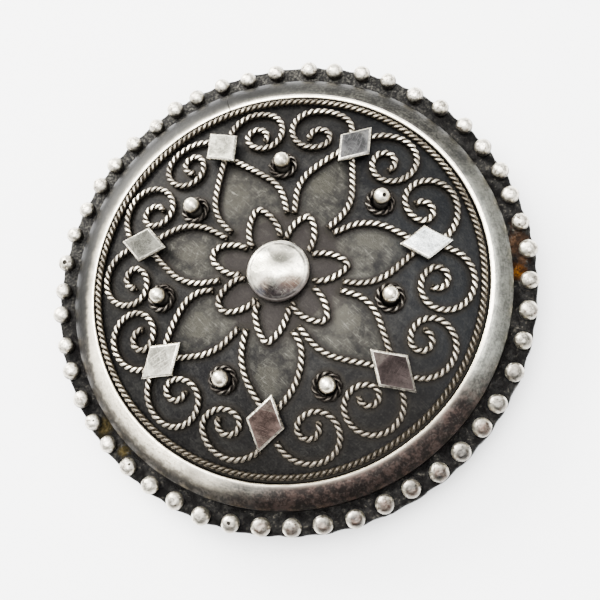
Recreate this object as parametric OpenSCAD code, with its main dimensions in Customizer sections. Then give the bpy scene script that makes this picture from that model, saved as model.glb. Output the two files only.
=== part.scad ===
// Round filigree brooch, 44 mm across: a domed plate in a bezel, with wire scrolls, petals
// and a rosette soldered on it, seven lozenges, seven granules and a beaded border.
// The face looks up (+Z). The origin is under the middle, on the surface that the brooch lies on.

/* [Back] */
// Radius of the flange that carries the beads
flange_r = 22; // [21.6:0.1:22.4]
// Thickness of the back plate
back_t = 0.7; // [0.5:0.1:1]
// Height of the back plate above the surface, which is the height of the pin's feet
back_z = 3.2; // [2.8:0.1:4]
// Gap left between pieces that are soldered together
gap = 0.03; // [0.02:0.01:0.05]

/* [Beaded border] */
// Number of beads round the edge
bead_n = 50; // [46:1:52]
// Radius of a bead
bead_r = 0.78; // [0.6:0.02:0.85]
// Radius of the ring that the beads stand on
bead_ring_r = 21.35; // [21.2:0.05:21.4]
// Height of a bead's centre above the flange
bead_lift = 0.66; // [0.6:0.02:0.7]

/* [Bezel] */
// Outer radius at the foot
bezel_r = 20; // [19.6:0.1:20.2]
// Inner radius at the lip
bezel_lip_r = 17.8; // [17.7:0.05:17.9]
// Height of the crown above the flange
bezel_h = 2; // [1.8:0.1:2.2]
// Radius of the crown's rounded section
crown_r = 2.8; // [2.6:0.1:3]
// Thickness of the sheet that the bezel is raised from
bezel_t = 0.6; // [0.5:0.05:0.7]

/* [Domed plate] */
// Radius of the dome's curve
dome_r = 60; // [56:1:66]
// Height of the dome's top above the flange
dome_h = 4.3; // [4.2:0.1:4.4]
// Thickness of the dome's sheet
dome_t = 0.6; // [0.5:0.05:0.7]
// Radius of the plate's upright edge
dome_edge_r = 17.7; // [17.6:0.05:17.7]

/* [Wires] */
// Radius of the filigree wire
wire_r = 0.3; // [0.26:0.01:0.31]
// Radius of the thinner rope wire inside the bezel
rope_r = 0.22; // [0.18:0.01:0.24]
// Radius of the rope's ring
rope_ring_r = 17.3; // [17.25:0.05:17.35]
// Length of a scroll's end that is tucked under its lozenge
tuck = 0.6; // [0.4:0.1:0.7]

/* [Lozenges, granules and boss] */
// Thickness of a lozenge
lozenge_t = 0.45; // [0.35:0.05:0.55]
// Width of a lozenge's bevelled edge
bevel = 0.22; // [0.15:0.01:0.3]
// Radius of the solder pad that joins two petal wires under a lozenge
pad_r = 0.85; // [0.7:0.05:0.9]
// Height of the solder pad
pad_h = 0.4; // [0.36:0.02:0.5]
// Radius of a granule's ball
granule_r = 0.7; // [0.6:0.02:0.74]
// Height of a granule's centre above the dome
granule_lift = 1.03; // [0.95:0.01:1.05]
// Radius of the granule collar's ring, to the middle of its wire
collar_r = 1.02; // [1:0.01:1.1]
// Radius of the collar's wire
collar_wire_r = 0.2; // [0.18:0.01:0.24]
// Radius of the boss
boss_r = 2.9; // [2.7:0.05:3]
// Height of the boss above the dome
boss_h = 1.55; // [1.4:0.05:1.7]
// Thickness of the boss at its rim
boss_rim_t = 0.25; // [0.2:0.05:0.35]
// Radius of the post that carries the boss
boss_post_r = 0.9; // [0.7:0.05:1]

/* [Pin] */
// Distance from the middle to the inner side of each foot
foot_x = 13; // [12:0.5:14]
// Length of a foot along the pin
foot_l = 5; // [4:0.5:5.5]
// Width of a foot
foot_w = 6; // [5:0.5:8]
// Radius of the pin's stem
stem_r = 0.45; // [0.4:0.05:0.6]
// Height of the stem's middle above the surface
stem_z = 1.3; // [1:0.1:1.6]

/* [Hidden] */
flange_z = back_z + back_t;
dome_mid_z = flange_z + dome_h - dome_r;
wire_sphere_r = dome_r + gap + wire_r;
wire_top = gap + 2 * wire_r;
wire_sides = 8;
bend_step = 24;
straight_step = 2.5;
crown_z = flange_z + bezel_h - crown_r;
crown_mid_r = bezel_lip_r + 0.15;
lozenge_n = 7;

// Scrolls, two for each lozenge, clockwise from the upper left one. Each wire leaves its lozenge
// at x, y on a heading, and is bent in four arcs: tail, bow, neck and eye, each a radius and a
// turn in degrees. The wires turn clockwise and counter-clockwise by turns.
SCROLLS = [
//   x,      y,   heading, tail r, turn, bow r, turn, neck r, turn, eye r, turn
  [ -5.15,  14.35,   70,    2.7,   95,   2.05, 100,   1.65,  110,   0.92,  250],
  [  6.1,   13.8,    91,    1.95,  54,   4.1,   42,   2.05,  200,   0.92,  255],
  [  7.85,  13.05,   17,    3.8,   43,   2.35, 155,   1.6,   125,   0.95,  210],
  [ 14.55,   3.4,    48,    3.65,  60,   2.35, 105,   2,     120,   0.92,  250],
  [ 14.8,    2.1,   -16,    2.8,  120,   2.45,  60,   1.95,  130,   0.95,  245],
  [ 12,      -9.1,    -6,    2.9,   70,   2.55,  75,   1.8,   137,   0.92,  255],
  [ 10.7,  -10.75,  -79,    2.6,   87,   2.45,  93,   1.85,  115,   0.87,  250],
  [  0.35, -14.95,  -55,    3.1,   79,   2.2,  117,   1.8,    99,   0.95,  245],
  [ -1.9,  -15.45, -147,    3,    113,   1.5,   63,   1.95,   77,   1,     262],
  [-11.65,  -9.25, -106,    3.15,  76,   2.25, 120,   1.9,   104,   0.92,  250],
  [-12.2,   -8.1,  -174,    2.9,   78,   2.4,   97,   1.85,  142,   0.92,  233],
  [-14.85,   2.9,  -155,    2.9,   62,   2.5,  106,   1.75,  135,   0.92,  223],
  [-14.6,    4.8,   116,    3.3,   55,   2.35, 135,   1.7,   116,   0.98,  233],
  [ -7.35,  13.4,   170,    3.4,   69,   1.9,  119,   1.7,   124,   0.88,  250],
];

// Petal wires, the left and right one of each lozenge. Each starts at its inner end on a heading,
// runs straight, bows outwards and then runs on under the lozenge.
LIMBS = [
//   x,      y,   heading, straight, bow length, turn, far length, turn
  [ -4.3,    3.85,  136,    0.9,     3.2,        -50,  4.4,         -6],
  [  0.7,    5.45,  104,    1.3,     3,           43,  5,            2],
  [  1.35,   5.4,    87,    1.7,     2.8,        -44,  4.4,        -14],
  [  4.35,   3.9,    44,    1.2,     3,           45,  4.3,          8],
  [  4.8,    3.4,    26,    1.2,     4.2,        -55,  2.8,          0],
  [  5.7,   -1,      -5,    1,       3.6,         48,  3.3,          0],
  [  5.5,   -1.75,  -14,    0.9,     3.4,        -57,  4.4,         -3],
  [  2,     -4.85,  -51,    1.5,     3,           38,  4.3,          6],
  [  1.45,  -5.25,  -50,    0.4,     1.6,        -38,  6.4,        -61],
  [ -2.6,   -4.95, -102,    1.2,     4,           42,  3.3,          8],
  [ -3.25,  -4.85, -135,    1.5,     3.2,        -42,  3,            0],
  [ -5.7,   -1.45,  174,    0.2,     3,           62,  4.8,         22],
  [ -5.1,   -0.55,  187,    1.2,     4,          -51,  3.1,         -3],
  [ -4.65,   3.3,   149,    1.6,     4.4,         54,  2.2,          6],
];

// Rosette loops, clockwise from the top left. Each has its tip at x, y and points along a heading.
// Each of its two sides is a tight bend at the tip and a wider arc that runs in towards the boss.
LOOPS = [
//   x,      y,   heading, tip r, turn, side r, left turn, right turn
  [ -1.95,   5.85,  106,    0.45,  46,  3.75,   44,        42],
  [  2.6,    5,      72,    0.5,   47,  3.1,    42,        50],
  [  6.1,    0.55,    5,    0.45,  47,  3.4,    52,        44],
  [  4.25,  -4.3,   -46,    0.6,   50,  3.4,    46,        38],
  [ -0.75,  -6.15,  -98,    0.4,   47,  4.4,    38,        34],
  [ -5.05,  -2.95, -150,    1,     60,  3.5,    34,        32],
  [ -5.85,   1.95,  161,    0.95,  58,  3.5,    34,        40],
];

// Lozenges, each with its middle, the bearing of its long diagonal, and its two diagonals
LOZENGES = [
//   x,      y,   bearing, long, short
  [ -5.7,   12.25,  128,   4.5,  3.5],
  [  6.5,   11.9,    52,   4.7,  3.3],
  [ 12.8,    2.4,     6,   4.5,  3.1],
  [  9.85,  -8.65,  -43,   5.1,  3.5],
  [ -0.75, -13,     256,   4.9,  3.4],
  [-10.2,   -7.5,   219,   4.9,  3.4],
  [-12.4,    3.2,   167,   4.8,  3.3],
];

// Granules, one between each two lozenges, clockwise from the top one
GRANULES = [[0.05, 10.35], [8.85, 6.8], [9.6, -2.1], [4.45, -9.65], [-4.6, -9.05], [-10.6, -1.65], [-7.95, 6.5]];

// The boss sits a little off the middle
BOSS = [0.3, -0.2];

// Rotations about the axes
function turn_x(a) = [[1, 0, 0], [0, cos(a), -sin(a)], [0, sin(a), cos(a)]];
function turn_y(a) = [[cos(a), 0, sin(a)], [0, 1, 0], [-sin(a), 0, cos(a)]];
function turn_z(a) = [[cos(a), -sin(a), 0], [sin(a), cos(a), 0], [0, 0, 1]];

// A wire follows the dome, so its path is a list of frames. A frame is a rotation about the middle
// of the dome's sphere: it takes z to the way out, x to the way along and y to the left.
function seat(x, y, heading) = let (bearing = atan2(y, x))
  turn_z(bearing) * turn_y(asin(norm([x, y]) / wire_sphere_r)) * turn_z(heading - bearing);

// Frames along one step, a length and a turn in degrees: an arc about an axis through the middle
function step_frames(start, length, turn) = let (
    side = turn < 0 ? -1 : 1,
    degrees_long = length * 180 / PI,
    tilt = side * atan2(degrees_long, abs(turn) * wire_sphere_r),
    sweep = degrees_long / (wire_sphere_r * sin(tilt)),
    rings = max(ceil(abs(turn) / bend_step), ceil(length / straight_step)))
  [for (k = [1:rings]) start * turn_x(-tilt) * turn_z(sweep * k / rings) * turn_x(tilt)];

// Frames along a chain of steps, with the one at its start
function chain(start, steps, i = 0) = i == len(steps) ? [start] :
  let (frames = step_frames(start, steps[i][0], steps[i][1]))
  concat([start], [for (k = [0:1:len(frames) - 2]) frames[k]], chain(frames[len(frames) - 1], steps, i + 1));

// The same frames from the other end
function backwards(frames) = [for (k = [len(frames) - 1:-1:0]) frames[k] * turn_z(180)];

// Length of an arc
function arc_length(r, turn) = r * turn * PI / 180;

// A bent wire along a list of frames
module wire(frames) {
  last = len(frames) - 1;
  points = [for (frame = frames, k = [0:wire_sides - 1]) let (a = k * 360 / wire_sides)
    frame * [0, wire_r * cos(a), wire_sphere_r + wire_r * sin(a)]];
  sides = [for (i = [0:last - 1], k = [0:wire_sides - 1]) let (next = (k + 1) % wire_sides)
    [i * wire_sides + k, (i + 1) * wire_sides + k, (i + 1) * wire_sides + next, i * wire_sides + next]];
  ends = [[for (k = [0:wire_sides - 1]) k], [for (k = [wire_sides - 1:-1:0]) last * wire_sides + k]];
  translate([0, 0, dome_mid_z]) polyhedron(points, concat(sides, ends));
}

// Puts its children on the dome's surface above x, y, with local x along the heading
module on_dome(x, y, heading) {
  bearing = atan2(y, x);
  translate([0, 0, dome_mid_z]) rotate([0, 0, bearing])
    rotate([0, asin(norm([x, y]) / dome_r), 0]) rotate([0, 0, heading - bearing])
      translate([0, 0, dome_r]) children();
}

module back_plate() {
  color("dimgray") translate([0, 0, back_z]) cylinder(r = flange_r, h = back_t, $fn = 200);
}

module border_beads() {
  color("silver") for (i = [0:bead_n - 1]) rotate([0, 0, 165 - i * 360 / bead_n])
    translate([bead_ring_r, 0, flange_z]) intersection() {
      translate([0, 0, bead_lift]) sphere(r = bead_r, $fn = 32);
      translate([-bead_r, -bead_r, gap]) cube([2 * bead_r, 2 * bead_r, 2 * bead_r]);
    }
}

// A ring with the crown's rounded top, set in from the outer one by a distance
module crown_ring(inset, bottom) {
  intersection() {
    translate([0, 0, crown_z]) rotate_extrude($fn = 200)
      translate([crown_mid_r, 0]) circle(crown_r - inset, $fn = 96);
    difference() {
      translate([0, 0, bottom]) cylinder(r = bezel_r - inset, h = 2 * bezel_h, $fn = 200);
      translate([0, 0, bottom - 1]) cylinder(r = bezel_lip_r + inset, h = 2 * bezel_h + 2, $fn = 200);
    }
  }
}

module bezel_ring() {
  color("silver") difference() {
    crown_ring(0, flange_z + gap);
    crown_ring(bezel_t, flange_z - 1);
  }
}

module dome_plate() {
  edge_r = dome_edge_r - dome_t;
  color("dimgray") difference() {
    intersection() {
      translate([0, 0, dome_mid_z]) sphere(r = dome_r, $fn = 360);
      translate([0, 0, flange_z + gap]) cylinder(r = dome_edge_r, h = dome_h, $fn = 200);
    }
    intersection() {
      translate([0, 0, dome_mid_z]) sphere(r = dome_r - dome_t, $fn = 360);
      translate([0, 0, flange_z - 1]) cylinder(r = edge_r, h = dome_h + 1, $fn = 200);
    }
  }
}

module rope_ring() {
  rope_sphere_r = dome_r + gap + rope_r;
  rope_z = dome_mid_z + sqrt(rope_sphere_r * rope_sphere_r - rope_ring_r * rope_ring_r);
  color("silver") translate([0, 0, rope_z]) rotate_extrude($fn = 200)
    translate([rope_ring_r, 0]) circle(rope_r, $fn = 24);
}

// The two wires of a petal, joined by a solder pad under its lozenge
module petal(i) {
  color("silver") {
    for (row = [LIMBS[2 * i], LIMBS[2 * i + 1]])
      wire(chain(seat(row[0], row[1], row[2]), [[row[3], 0], [row[4], row[5]], [row[6], row[7]]]));
    on_dome(LOZENGES[i][0], LOZENGES[i][1], 0)
      translate([0, 0, gap]) cylinder(r = pad_r, h = pad_h, $fn = 12);
  }
}

module scroll(i) {
  row = SCROLLS[i];
  way = i % 2 == 0 ? -1 : 1;
  arcs = [for (k = [3:2:9]) [arc_length(row[k], row[k + 1]), way * row[k + 1]]];
  start = seat(row[0] - tuck * cos(row[2]), row[1] - tuck * sin(row[2]), row[2]);
  color("silver") wire(chain(start, concat([[tuck, 0]], arcs)));
}

// One side of a rosette loop, from its tip
function loop_side(row, side, turn) = chain(seat(row[0], row[1], row[2] + 90 * side),
  [[arc_length(row[3], row[4]), side * row[4]], [arc_length(row[5], turn), side * turn]]);

module rosette(i) {
  row = LOOPS[i];
  right = loop_side(row, -1, row[7]);
  color("silver") wire(concat(backwards(loop_side(row, 1, row[6])), [for (k = [1:len(right) - 1]) right[k]]));
}

module lozenge(i) {
  row = LOZENGES[i];
  a = row[3] / 2;
  b = row[4] / 2;
  // The edge stands in by the bevel's width, measured square to the rhombus's sides
  inner = 1 - bevel * norm([a, b]) / (a * b);
  color("silver") on_dome(row[0], row[1], row[2]) translate([0, 0, wire_top + gap]) hull() {
    linear_extrude(lozenge_t - bevel) polygon([[a, 0], [0, b], [-a, 0], [0, -b]]);
    linear_extrude(lozenge_t) scale(inner) polygon([[a, 0], [0, b], [-a, 0], [0, -b]]);
  }
}

// A ball on a solder base, with a collar of wire round it
module granule(i) {
  base_r = collar_r - collar_wire_r / 2;
  color("silver") on_dome(GRANULES[i][0], GRANULES[i][1], 0) {
    translate([0, 0, granule_lift]) sphere(r = granule_r, $fn = 48);
    translate([0, 0, gap]) cylinder(r = base_r, h = 2 * collar_wire_r, $fn = 48);
    translate([0, 0, gap + collar_wire_r]) rotate_extrude($fn = 72)
      translate([collar_r, 0]) circle(collar_wire_r, $fn = 24);
  }
}

// A flattened dome with a thin rim, on a post that stands between the loops' ends
module boss() {
  under = wire_top + gap;
  crown = boss_h - under - boss_rim_t;
  curve_r = (boss_r * boss_r + crown * crown) / (2 * crown);
  color("silver") on_dome(BOSS[0], BOSS[1], 0) {
    intersection() {
      translate([0, 0, boss_h - curve_r]) sphere(r = curve_r, $fn = 200);
      translate([0, 0, under]) cylinder(r = boss_r, h = boss_h, $fn = 96);
    }
    translate([0, 0, gap]) cylinder(r = boss_post_r, h = boss_h / 2, $fn = 48);
  }
}

module pin_clasp() {
  foot_h = back_z - gap;
  color("darkgray") {
    for (side = [-1, 1]) translate([side * (foot_x + foot_l / 2) - foot_l / 2, -foot_w / 2, 0])
      cube([foot_l, foot_w, foot_h]);
    translate([-foot_x - 1, 0, stem_z]) rotate([0, 90, 0]) cylinder(r = stem_r, h = 2 * foot_x + 2, $fn = 32);
  }
}

back_plate();
border_beads();
bezel_ring();
dome_plate();
rope_ring();
boss();
pin_clasp();
for (i = [1:lozenge_n]) {
  petal(i - 1);
  rosette(i - 1);
  lozenge(i - 1);
  granule(i - 1);
}
for (i = [1:2 * lozenge_n]) scroll(i - 1);
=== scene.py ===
"""Round filigree brooch of old silver, 44 mm across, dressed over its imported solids.

Pieces are modelled in millimetres, at their place, and brought to metres when they are handed over.
"""

import logging
import math
import random
from collections.abc import Callable, Iterator
from contextlib import contextmanager
from dataclasses import dataclass, field
from enum import Enum
from typing import Any, Union

import bmesh
import bpy
import numpy as np
from mathutils import Matrix, Vector
from mathutils.kdtree import KDTree


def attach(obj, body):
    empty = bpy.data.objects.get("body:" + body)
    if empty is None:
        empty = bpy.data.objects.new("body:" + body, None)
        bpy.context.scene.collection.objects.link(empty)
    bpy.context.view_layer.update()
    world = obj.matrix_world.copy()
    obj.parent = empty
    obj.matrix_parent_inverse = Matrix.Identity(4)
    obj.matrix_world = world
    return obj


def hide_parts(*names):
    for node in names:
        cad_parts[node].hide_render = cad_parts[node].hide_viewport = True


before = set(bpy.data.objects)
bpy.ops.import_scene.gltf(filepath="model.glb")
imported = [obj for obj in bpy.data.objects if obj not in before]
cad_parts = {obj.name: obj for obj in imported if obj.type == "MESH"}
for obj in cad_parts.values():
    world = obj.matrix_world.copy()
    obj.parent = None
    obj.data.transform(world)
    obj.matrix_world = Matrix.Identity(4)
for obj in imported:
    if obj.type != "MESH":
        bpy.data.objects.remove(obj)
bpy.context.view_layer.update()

logging.basicConfig(level=logging.INFO, format="%(levelname)s %(message)s")
LOG = logging.getLogger("brooch")

BODY = "root"
MM = 0.001
# Top of the rim that carries the beads
FLANGE_Z = 3.9
# Left between pieces that are soldered together
GAP = 0.03
# The dome is a cap of this sphere
DOME_R = 60.0
DOME_MID = Vector((0.0, 0.0, -51.8))
# The bezel's lip and the rope stand this much further out on the right side
LIP_SHIFT = 0.26
# Middle of the wear round the boss
MIDDLE = (0.2, -0.1)
# Petals, rosette loops, lozenges and granules
LOBES = 7
# Doubles closer than this are merged
MERGE = 0.002

Colour = tuple[float, float, float]
Point = tuple[float, float, float]

SILVER: Colour = (0.97, 0.905, 0.74)
WARM_SILVER: Colour = (0.66, 0.585, 0.45)
OXIDE: Colour = (0.0098, 0.0088, 0.0075)


class Slot(Enum):
    """The record's material slots."""

    FLANGE = "flange_metal"
    PLATE = "plate_metal"
    BEZEL = "bezel_metal"
    BEAD = "bead_metal"
    WIRE = "wire_metal"
    LOZENGE = "lozenge_metal"
    GRANULE = "granule_metal"
    BOSS = "boss_metal"
    PIN = "pin_metal"


# ---------------------------------------------------------------------------------------------
# Shader maths


class Value:
    """A number, colour or vector in a material: one socket, with arithmetic on numbers."""

    def __init__(self, graph: "Graph", socket: bpy.types.NodeSocket) -> None:
        """Wraps a socket of a graph."""
        self.graph = graph
        self.socket = socket

    def __add__(self, other: "Operand") -> "Value":
        """Sum."""
        return self.graph.maths("ADD", self, other)

    def __radd__(self, other: "Operand") -> "Value":
        """Sum, with this on the right."""
        return self.graph.maths("ADD", other, self)

    def __sub__(self, other: "Operand") -> "Value":
        """Difference."""
        return self.graph.maths("SUBTRACT", self, other)

    def __rsub__(self, other: "Operand") -> "Value":
        """Difference, with this on the right."""
        return self.graph.maths("SUBTRACT", other, self)

    def __mul__(self, other: "Operand") -> "Value":
        """Product."""
        return self.graph.maths("MULTIPLY", self, other)

    def __rmul__(self, other: "Operand") -> "Value":
        """Product, with this on the right."""
        return self.graph.maths("MULTIPLY", other, self)

    def __truediv__(self, other: "Operand") -> "Value":
        """Quotient."""
        return self.graph.maths("DIVIDE", self, other)

    def __rtruediv__(self, other: "Operand") -> "Value":
        """Quotient, with this on the right."""
        return self.graph.maths("DIVIDE", other, self)

    def __pow__(self, other: "Operand") -> "Value":
        """Power."""
        return self.graph.maths("POWER", self, other)

    def __rpow__(self, other: "Operand") -> "Value":
        """Power, with this as the exponent."""
        return self.graph.maths("POWER", other, self)

    def __neg__(self) -> "Value":
        """The opposite number."""
        return self.graph.maths("MULTIPLY", self, -1.0)

    def sway(self, reach: float) -> "Value":
        """A noise brought round 0, which lets an edge stray by half a reach each way."""
        return (self - 0.5) * reach


Operand = Union[Value, float]


def opaque(colour: Any) -> Any:
    """A plain colour with its alpha; a value stays as it is."""
    return (*colour, 1.0) if isinstance(colour, tuple) else colour


def brighter(low: Colour, high: Colour) -> float:
    """How many times brighter one plain colour is than another."""
    return sum(high) / sum(low)


class Graph:
    """The nodes of one material."""

    def __init__(self, name: str) -> None:
        """Starts an empty material of that name."""
        self.material = bpy.data.materials.new(name)
        self.material.use_nodes = True
        self.tree = self.material.node_tree
        self.tree.nodes.clear()

    def node(self, kind: str, settings: dict[str, Any] | None = None,
             sockets: dict[int | str, Any] | None = None) -> bpy.types.Node:
        """Adds a node.

        Args:
            kind: The node's type.
            settings: Its own settings, set first.
            sockets: Values or links of its input sockets, by index or name.

        Returns:
            The node.
        """
        made = self.tree.nodes.new(kind)
        for name, setting in (settings or {}).items():
            setattr(made, name, setting)
        for name, value in (sockets or {}).items():
            if isinstance(value, Value):
                self.tree.links.new(value.socket, made.inputs[name])
            else:
                made.inputs[name].default_value = value
        return made

    def take(self, kind: str, settings: dict[str, Any] | None = None,
             sockets: dict[int | str, Any] | None = None, output: int | str = 0) -> Value:
        """Adds a node and returns one of its outputs."""
        return Value(self, self.node(kind, settings, sockets).outputs[output])

    def maths(self, operation: str, *numbers: Operand) -> Value:
        """One Math node."""
        return self.take("ShaderNodeMath", {"operation": operation}, dict(enumerate(numbers)))

    def largest(self, first: Operand, *others: Operand) -> Value:
        """The largest of some numbers."""
        for other in others:
            first = self.maths("MAXIMUM", first, other)
        return first

    def vector(self, operation: str, *vectors: Any, output: int | str = 0) -> Value:
        """One Vector Math node."""
        return self.take("ShaderNodeVectorMath", {"operation": operation}, dict(enumerate(vectors)), output)

    def place(self) -> Value:
        """The point on the piece, in millimetres."""
        metres = self.take("ShaderNodeTexCoord", output="Object")
        return self.take("ShaderNodeVectorMath", {"operation": "SCALE"}, {0: metres, "Scale": 1.0 / MM})

    def apart(self, vector: Value) -> tuple[Value, Value, Value]:
        """The three coordinates of a vector."""
        made = self.node("ShaderNodeSeparateXYZ", None, {0: vector})
        return Value(self, made.outputs[0]), Value(self, made.outputs[1]), Value(self, made.outputs[2])

    def together(self, x: Operand, y: Operand, z: Operand) -> Value:
        """A vector of three coordinates."""
        return self.take("ShaderNodeCombineXYZ", None, {0: x, 1: y, 2: z})

    def far(self, a: Value, b: Point = (0.0, 0.0, 0.0)) -> Value:
        """The distance between two points."""
        return self.vector("DISTANCE", a, b, output="Value")

    def flat(self, place: Value) -> Value:
        """A point brought down to the ground."""
        return self.vector("MULTIPLY", place, (1.0, 1.0, 0.0))

    def from_axis(self, place: Value, axis: tuple[float, float] = (0.0, 0.0)) -> Value:
        """The distance of a point from an upright axis."""
        return self.far(self.flat(place), (*axis, 0.0))

    def over_dome(self, place: Value) -> Value:
        """The height of a point over the dome."""
        return self.far(place, tuple(DOME_MID)) - DOME_R

    def step(self, value: Operand, low: Operand, high: Operand, start: float = 0.0, end: float = 1.0) -> Value:
        """A smooth step from start to end as a value goes from low to high."""
        return self.take("ShaderNodeMapRange", {"interpolation_type": "SMOOTHSTEP", "clamp": True},
                         {0: value, 1: low, 2: high, 3: start, 4: end})

    def fade(self, value: Operand, low: Operand, high: Operand) -> Value:
        """A smooth step down from 1 to 0 as a value goes from low to high."""
        return self.step(value, low, high, 1.0, 0.0)

    def side(self, place: Value, way: tuple[float, float], stray: Operand, start: float, end: float) -> Value:
        """A mask that grows towards one side of the brooch.

        Args:
            place: The point, in millimetres.
            way: The direction, as x and y, which also scales the distance from the middle.
            stray: What the mask strays by, around 0.
            start: Scaled distance from the middle where it is 0.
            end: Scaled distance where it is 1.

        Returns:
            The mask.
        """
        return self.step(self.vector("DOT_PRODUCT", place, (*way, 0.0), output="Value") + stray, start, end)

    def noise(self, vector: Value, scale: float, detail: float = 3.0, roughness: float = 0.55) -> Value:
        """Cloudy noise around 0.5."""
        return self.take("ShaderNodeTexNoise", None, {"Vector": vector, "Scale": scale, "Detail": detail,
                                                      "Roughness": roughness})

    def attribute(self, name: str) -> Value:
        """A number stored in the mesh."""
        return self.take("ShaderNodeAttribute", {"attribute_name": name}, output="Fac")

    def mix(self, low: Any, high: Any, factor: Operand, ratio: float | None = None) -> Value:
        """A colour between two, the change even to the eye.

        Args:
            low: The colour at 0.
            high: The colour at 1.
            factor: The place between them.
            ratio: How many times brighter high is, worked out if both are plain colours.

        Returns:
            The colour.
        """
        if ratio is None and isinstance(low, tuple) and isinstance(high, tuple):
            ratio = brighter(low, high)
        if ratio is not None and abs(ratio - 1.0) > 0.1:
            factor = (ratio ** factor - 1.0) / (ratio - 1.0)
        return self.take("ShaderNodeMix", {"data_type": "RGBA"}, {0: factor, 6: opaque(low), 7: opaque(high)}, 2)

    def streaks(self, place: Value, angle: float, length: float, width: float, amount: float) -> Value:
        """Straight scratches in one direction.

        Args:
            place: The point, in millimetres.
            angle: Direction in degrees.
            length: Length of a scratch, in millimetres.
            width: Width of a scratch, in millimetres.
            amount: Share of the surface, from 0 to about 0.3.

        Returns:
            A mask, 1 in a scratch.
        """
        turned_place = self.take("ShaderNodeVectorRotate", {"rotation_type": "Z_AXIS"},
                                 {"Vector": place, "Angle": math.radians(-angle)})
        drawn_out = self.vector("MULTIPLY", turned_place, (1.0 / length, 1.0 / width, 1.0 / length))
        edge = 0.72 - amount
        return self.step(self.noise(drawn_out, 1.0, 2.0, 0.4), edge, edge + 0.06)

    def patch(self, place: Value, middle: tuple[float, float], size: tuple[float, float], ragged: Operand,
              core: float = 0.5) -> Value:
        """A ragged oval patch.

        Args:
            place: The point, in millimetres.
            middle: Its middle, as x and y.
            size: Half its width and half its height.
            ragged: What its edge strays by, around 0, as a share of its size.
            core: Share of it that is even, before it fades.

        Returns:
            A mask, 1 in the patch.
        """
        x, y, _ = self.apart(place)
        out = self.far(self.together((x - middle[0]) / size[0], (y - middle[1]) / size[1], 0.0))
        return self.fade(out + ragged, core, 1.65 - core)

    def bump(self, height: Value, depth: float, under: Value | None = None) -> Value:
        """A normal from a height.

        Args:
            height: The height, from 0 to 1.
            depth: Depth in millimetres.
            under: The normal to start from.

        Returns:
            The normal.
        """
        sockets: dict[int | str, Any] = {"Height": height, "Distance": depth * MM, "Strength": 1.0}
        if under is not None:
            sockets["Normal"] = under
        return self.take("ShaderNodeBump", None, sockets)

    def metal(self, colour: Value, roughness: Operand, normal: Value | None = None, metallic: float = 1.0
              ) -> bpy.types.Material:
        """Ends the material in a metal surface.

        Args:
            colour: Base colour.
            roughness: Roughness.
            normal: Bumped normal.
            metallic: 1 for metal, 0 for the studio's floor.

        Returns:
            The material.
        """
        sockets: dict[int | str, Any] = {"Base Color": colour, "Roughness": roughness, "Metallic": metallic}
        if normal is not None:
            sockets["Normal"] = normal
        shader = self.take("ShaderNodeBsdfPrincipled", None, sockets)
        self.node("ShaderNodeOutputMaterial", None, {"Surface": shader})
        return self.material


# ---------------------------------------------------------------------------------------------
# Finishes


@dataclass(frozen=True)
class Finish:
    """A look of the metal."""

    name: str

    def material(self) -> bpy.types.Material:
        """Builds the material."""
        g = Graph(self.name)
        return self.surface(g, g.place())

    def surface(self, g: Graph, place: Value) -> bpy.types.Material:
        """Dresses the surface, seen from a point in millimetres."""
        raise NotImplementedError


@dataclass(frozen=True)
class TwistSilver(Finish):
    """Rubbed silver on the tops of twisted wire, with brown shoulders and dark oxide between the strands, dimmed
    towards the bottom as painted shade.
    """

    name: str = "twisted_silver"
    silver: Colour = (0.82, 0.75, 0.61)
    # Dim silver: in patches rubbed less, near the boss, and as painted shade towards the bottom
    dim: Colour = (0.085, 0.072, 0.058)
    shoulder: Colour = (0.14, 0.12, 0.094)
    gap: Colour = (0.05, 0.0425, 0.0325)
    # Heights over the dome
    dull_below: float = 0.4
    bright_above: float = 0.56
    # How far the silver goes towards the dim colour in patches that were rubbed less
    dimness: float = 0.6

    def surface(self, g: Graph, place: Value) -> bpy.types.Material:
        """Dresses the surface."""
        cloud = g.noise(place, 0.5, 3.0)
        fine = g.noise(place, 4.5, 2.0)
        back = g.attribute("crown")
        rubbed = g.step(g.over_dome(place) + cloud.sway(0.12), self.dull_below, self.bright_above)
        # Painted shade: the silver dimmer towards the bottom of the brooch
        lower_wire_shade = g.side(place, (-0.34, 0.94), cloud.sway(8.0), -4.0, -16.0)
        round_boss = g.fade(g.from_axis(place, MIDDLE) + fine.sway(1.0), 3.2, 4.6)
        rubbed_less = g.step(g.noise(place, 0.35, 2.0), 0.42, 0.66, 0.0, self.dimness)
        silver = g.mix(self.silver, self.dim, g.largest(lower_wire_shade * 0.85, round_boss * 0.8, rubbed_less))
        core = g.step(back, 0.8, 0.985) * rubbed * g.step(fine, 0.25, 0.5, 0.75, 1.0)
        flank = g.mix(self.gap, self.shoulder, g.step(back, 0.5, 0.82) * g.step(rubbed, 0.0, 0.6))
        colour = g.mix(flank, silver, g.step(core, 0.12, 0.85), brighter(self.shoulder, self.silver))
        return g.metal(colour, 0.5 - 0.18 * core, g.bump(fine, 0.025))


ROPE_SILVER = TwistSilver("rope_silver", silver=(0.27, 0.238, 0.185), dim=(0.03, 0.0255, 0.0205),
                          shoulder=(0.085, 0.071, 0.052), gap=(0.052, 0.043, 0.03), dull_below=0.34,
                          bright_above=0.54)
COLLAR_SILVER = TwistSilver("collar_silver", silver=(0.11, 0.099, 0.083), dim=(0.01, 0.0085, 0.0074),
                            shoulder=(0.034, 0.029, 0.025), gap=(0.02, 0.017, 0.0145), dull_below=0.36,
                            bright_above=0.6, dimness=1.0)


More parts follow.
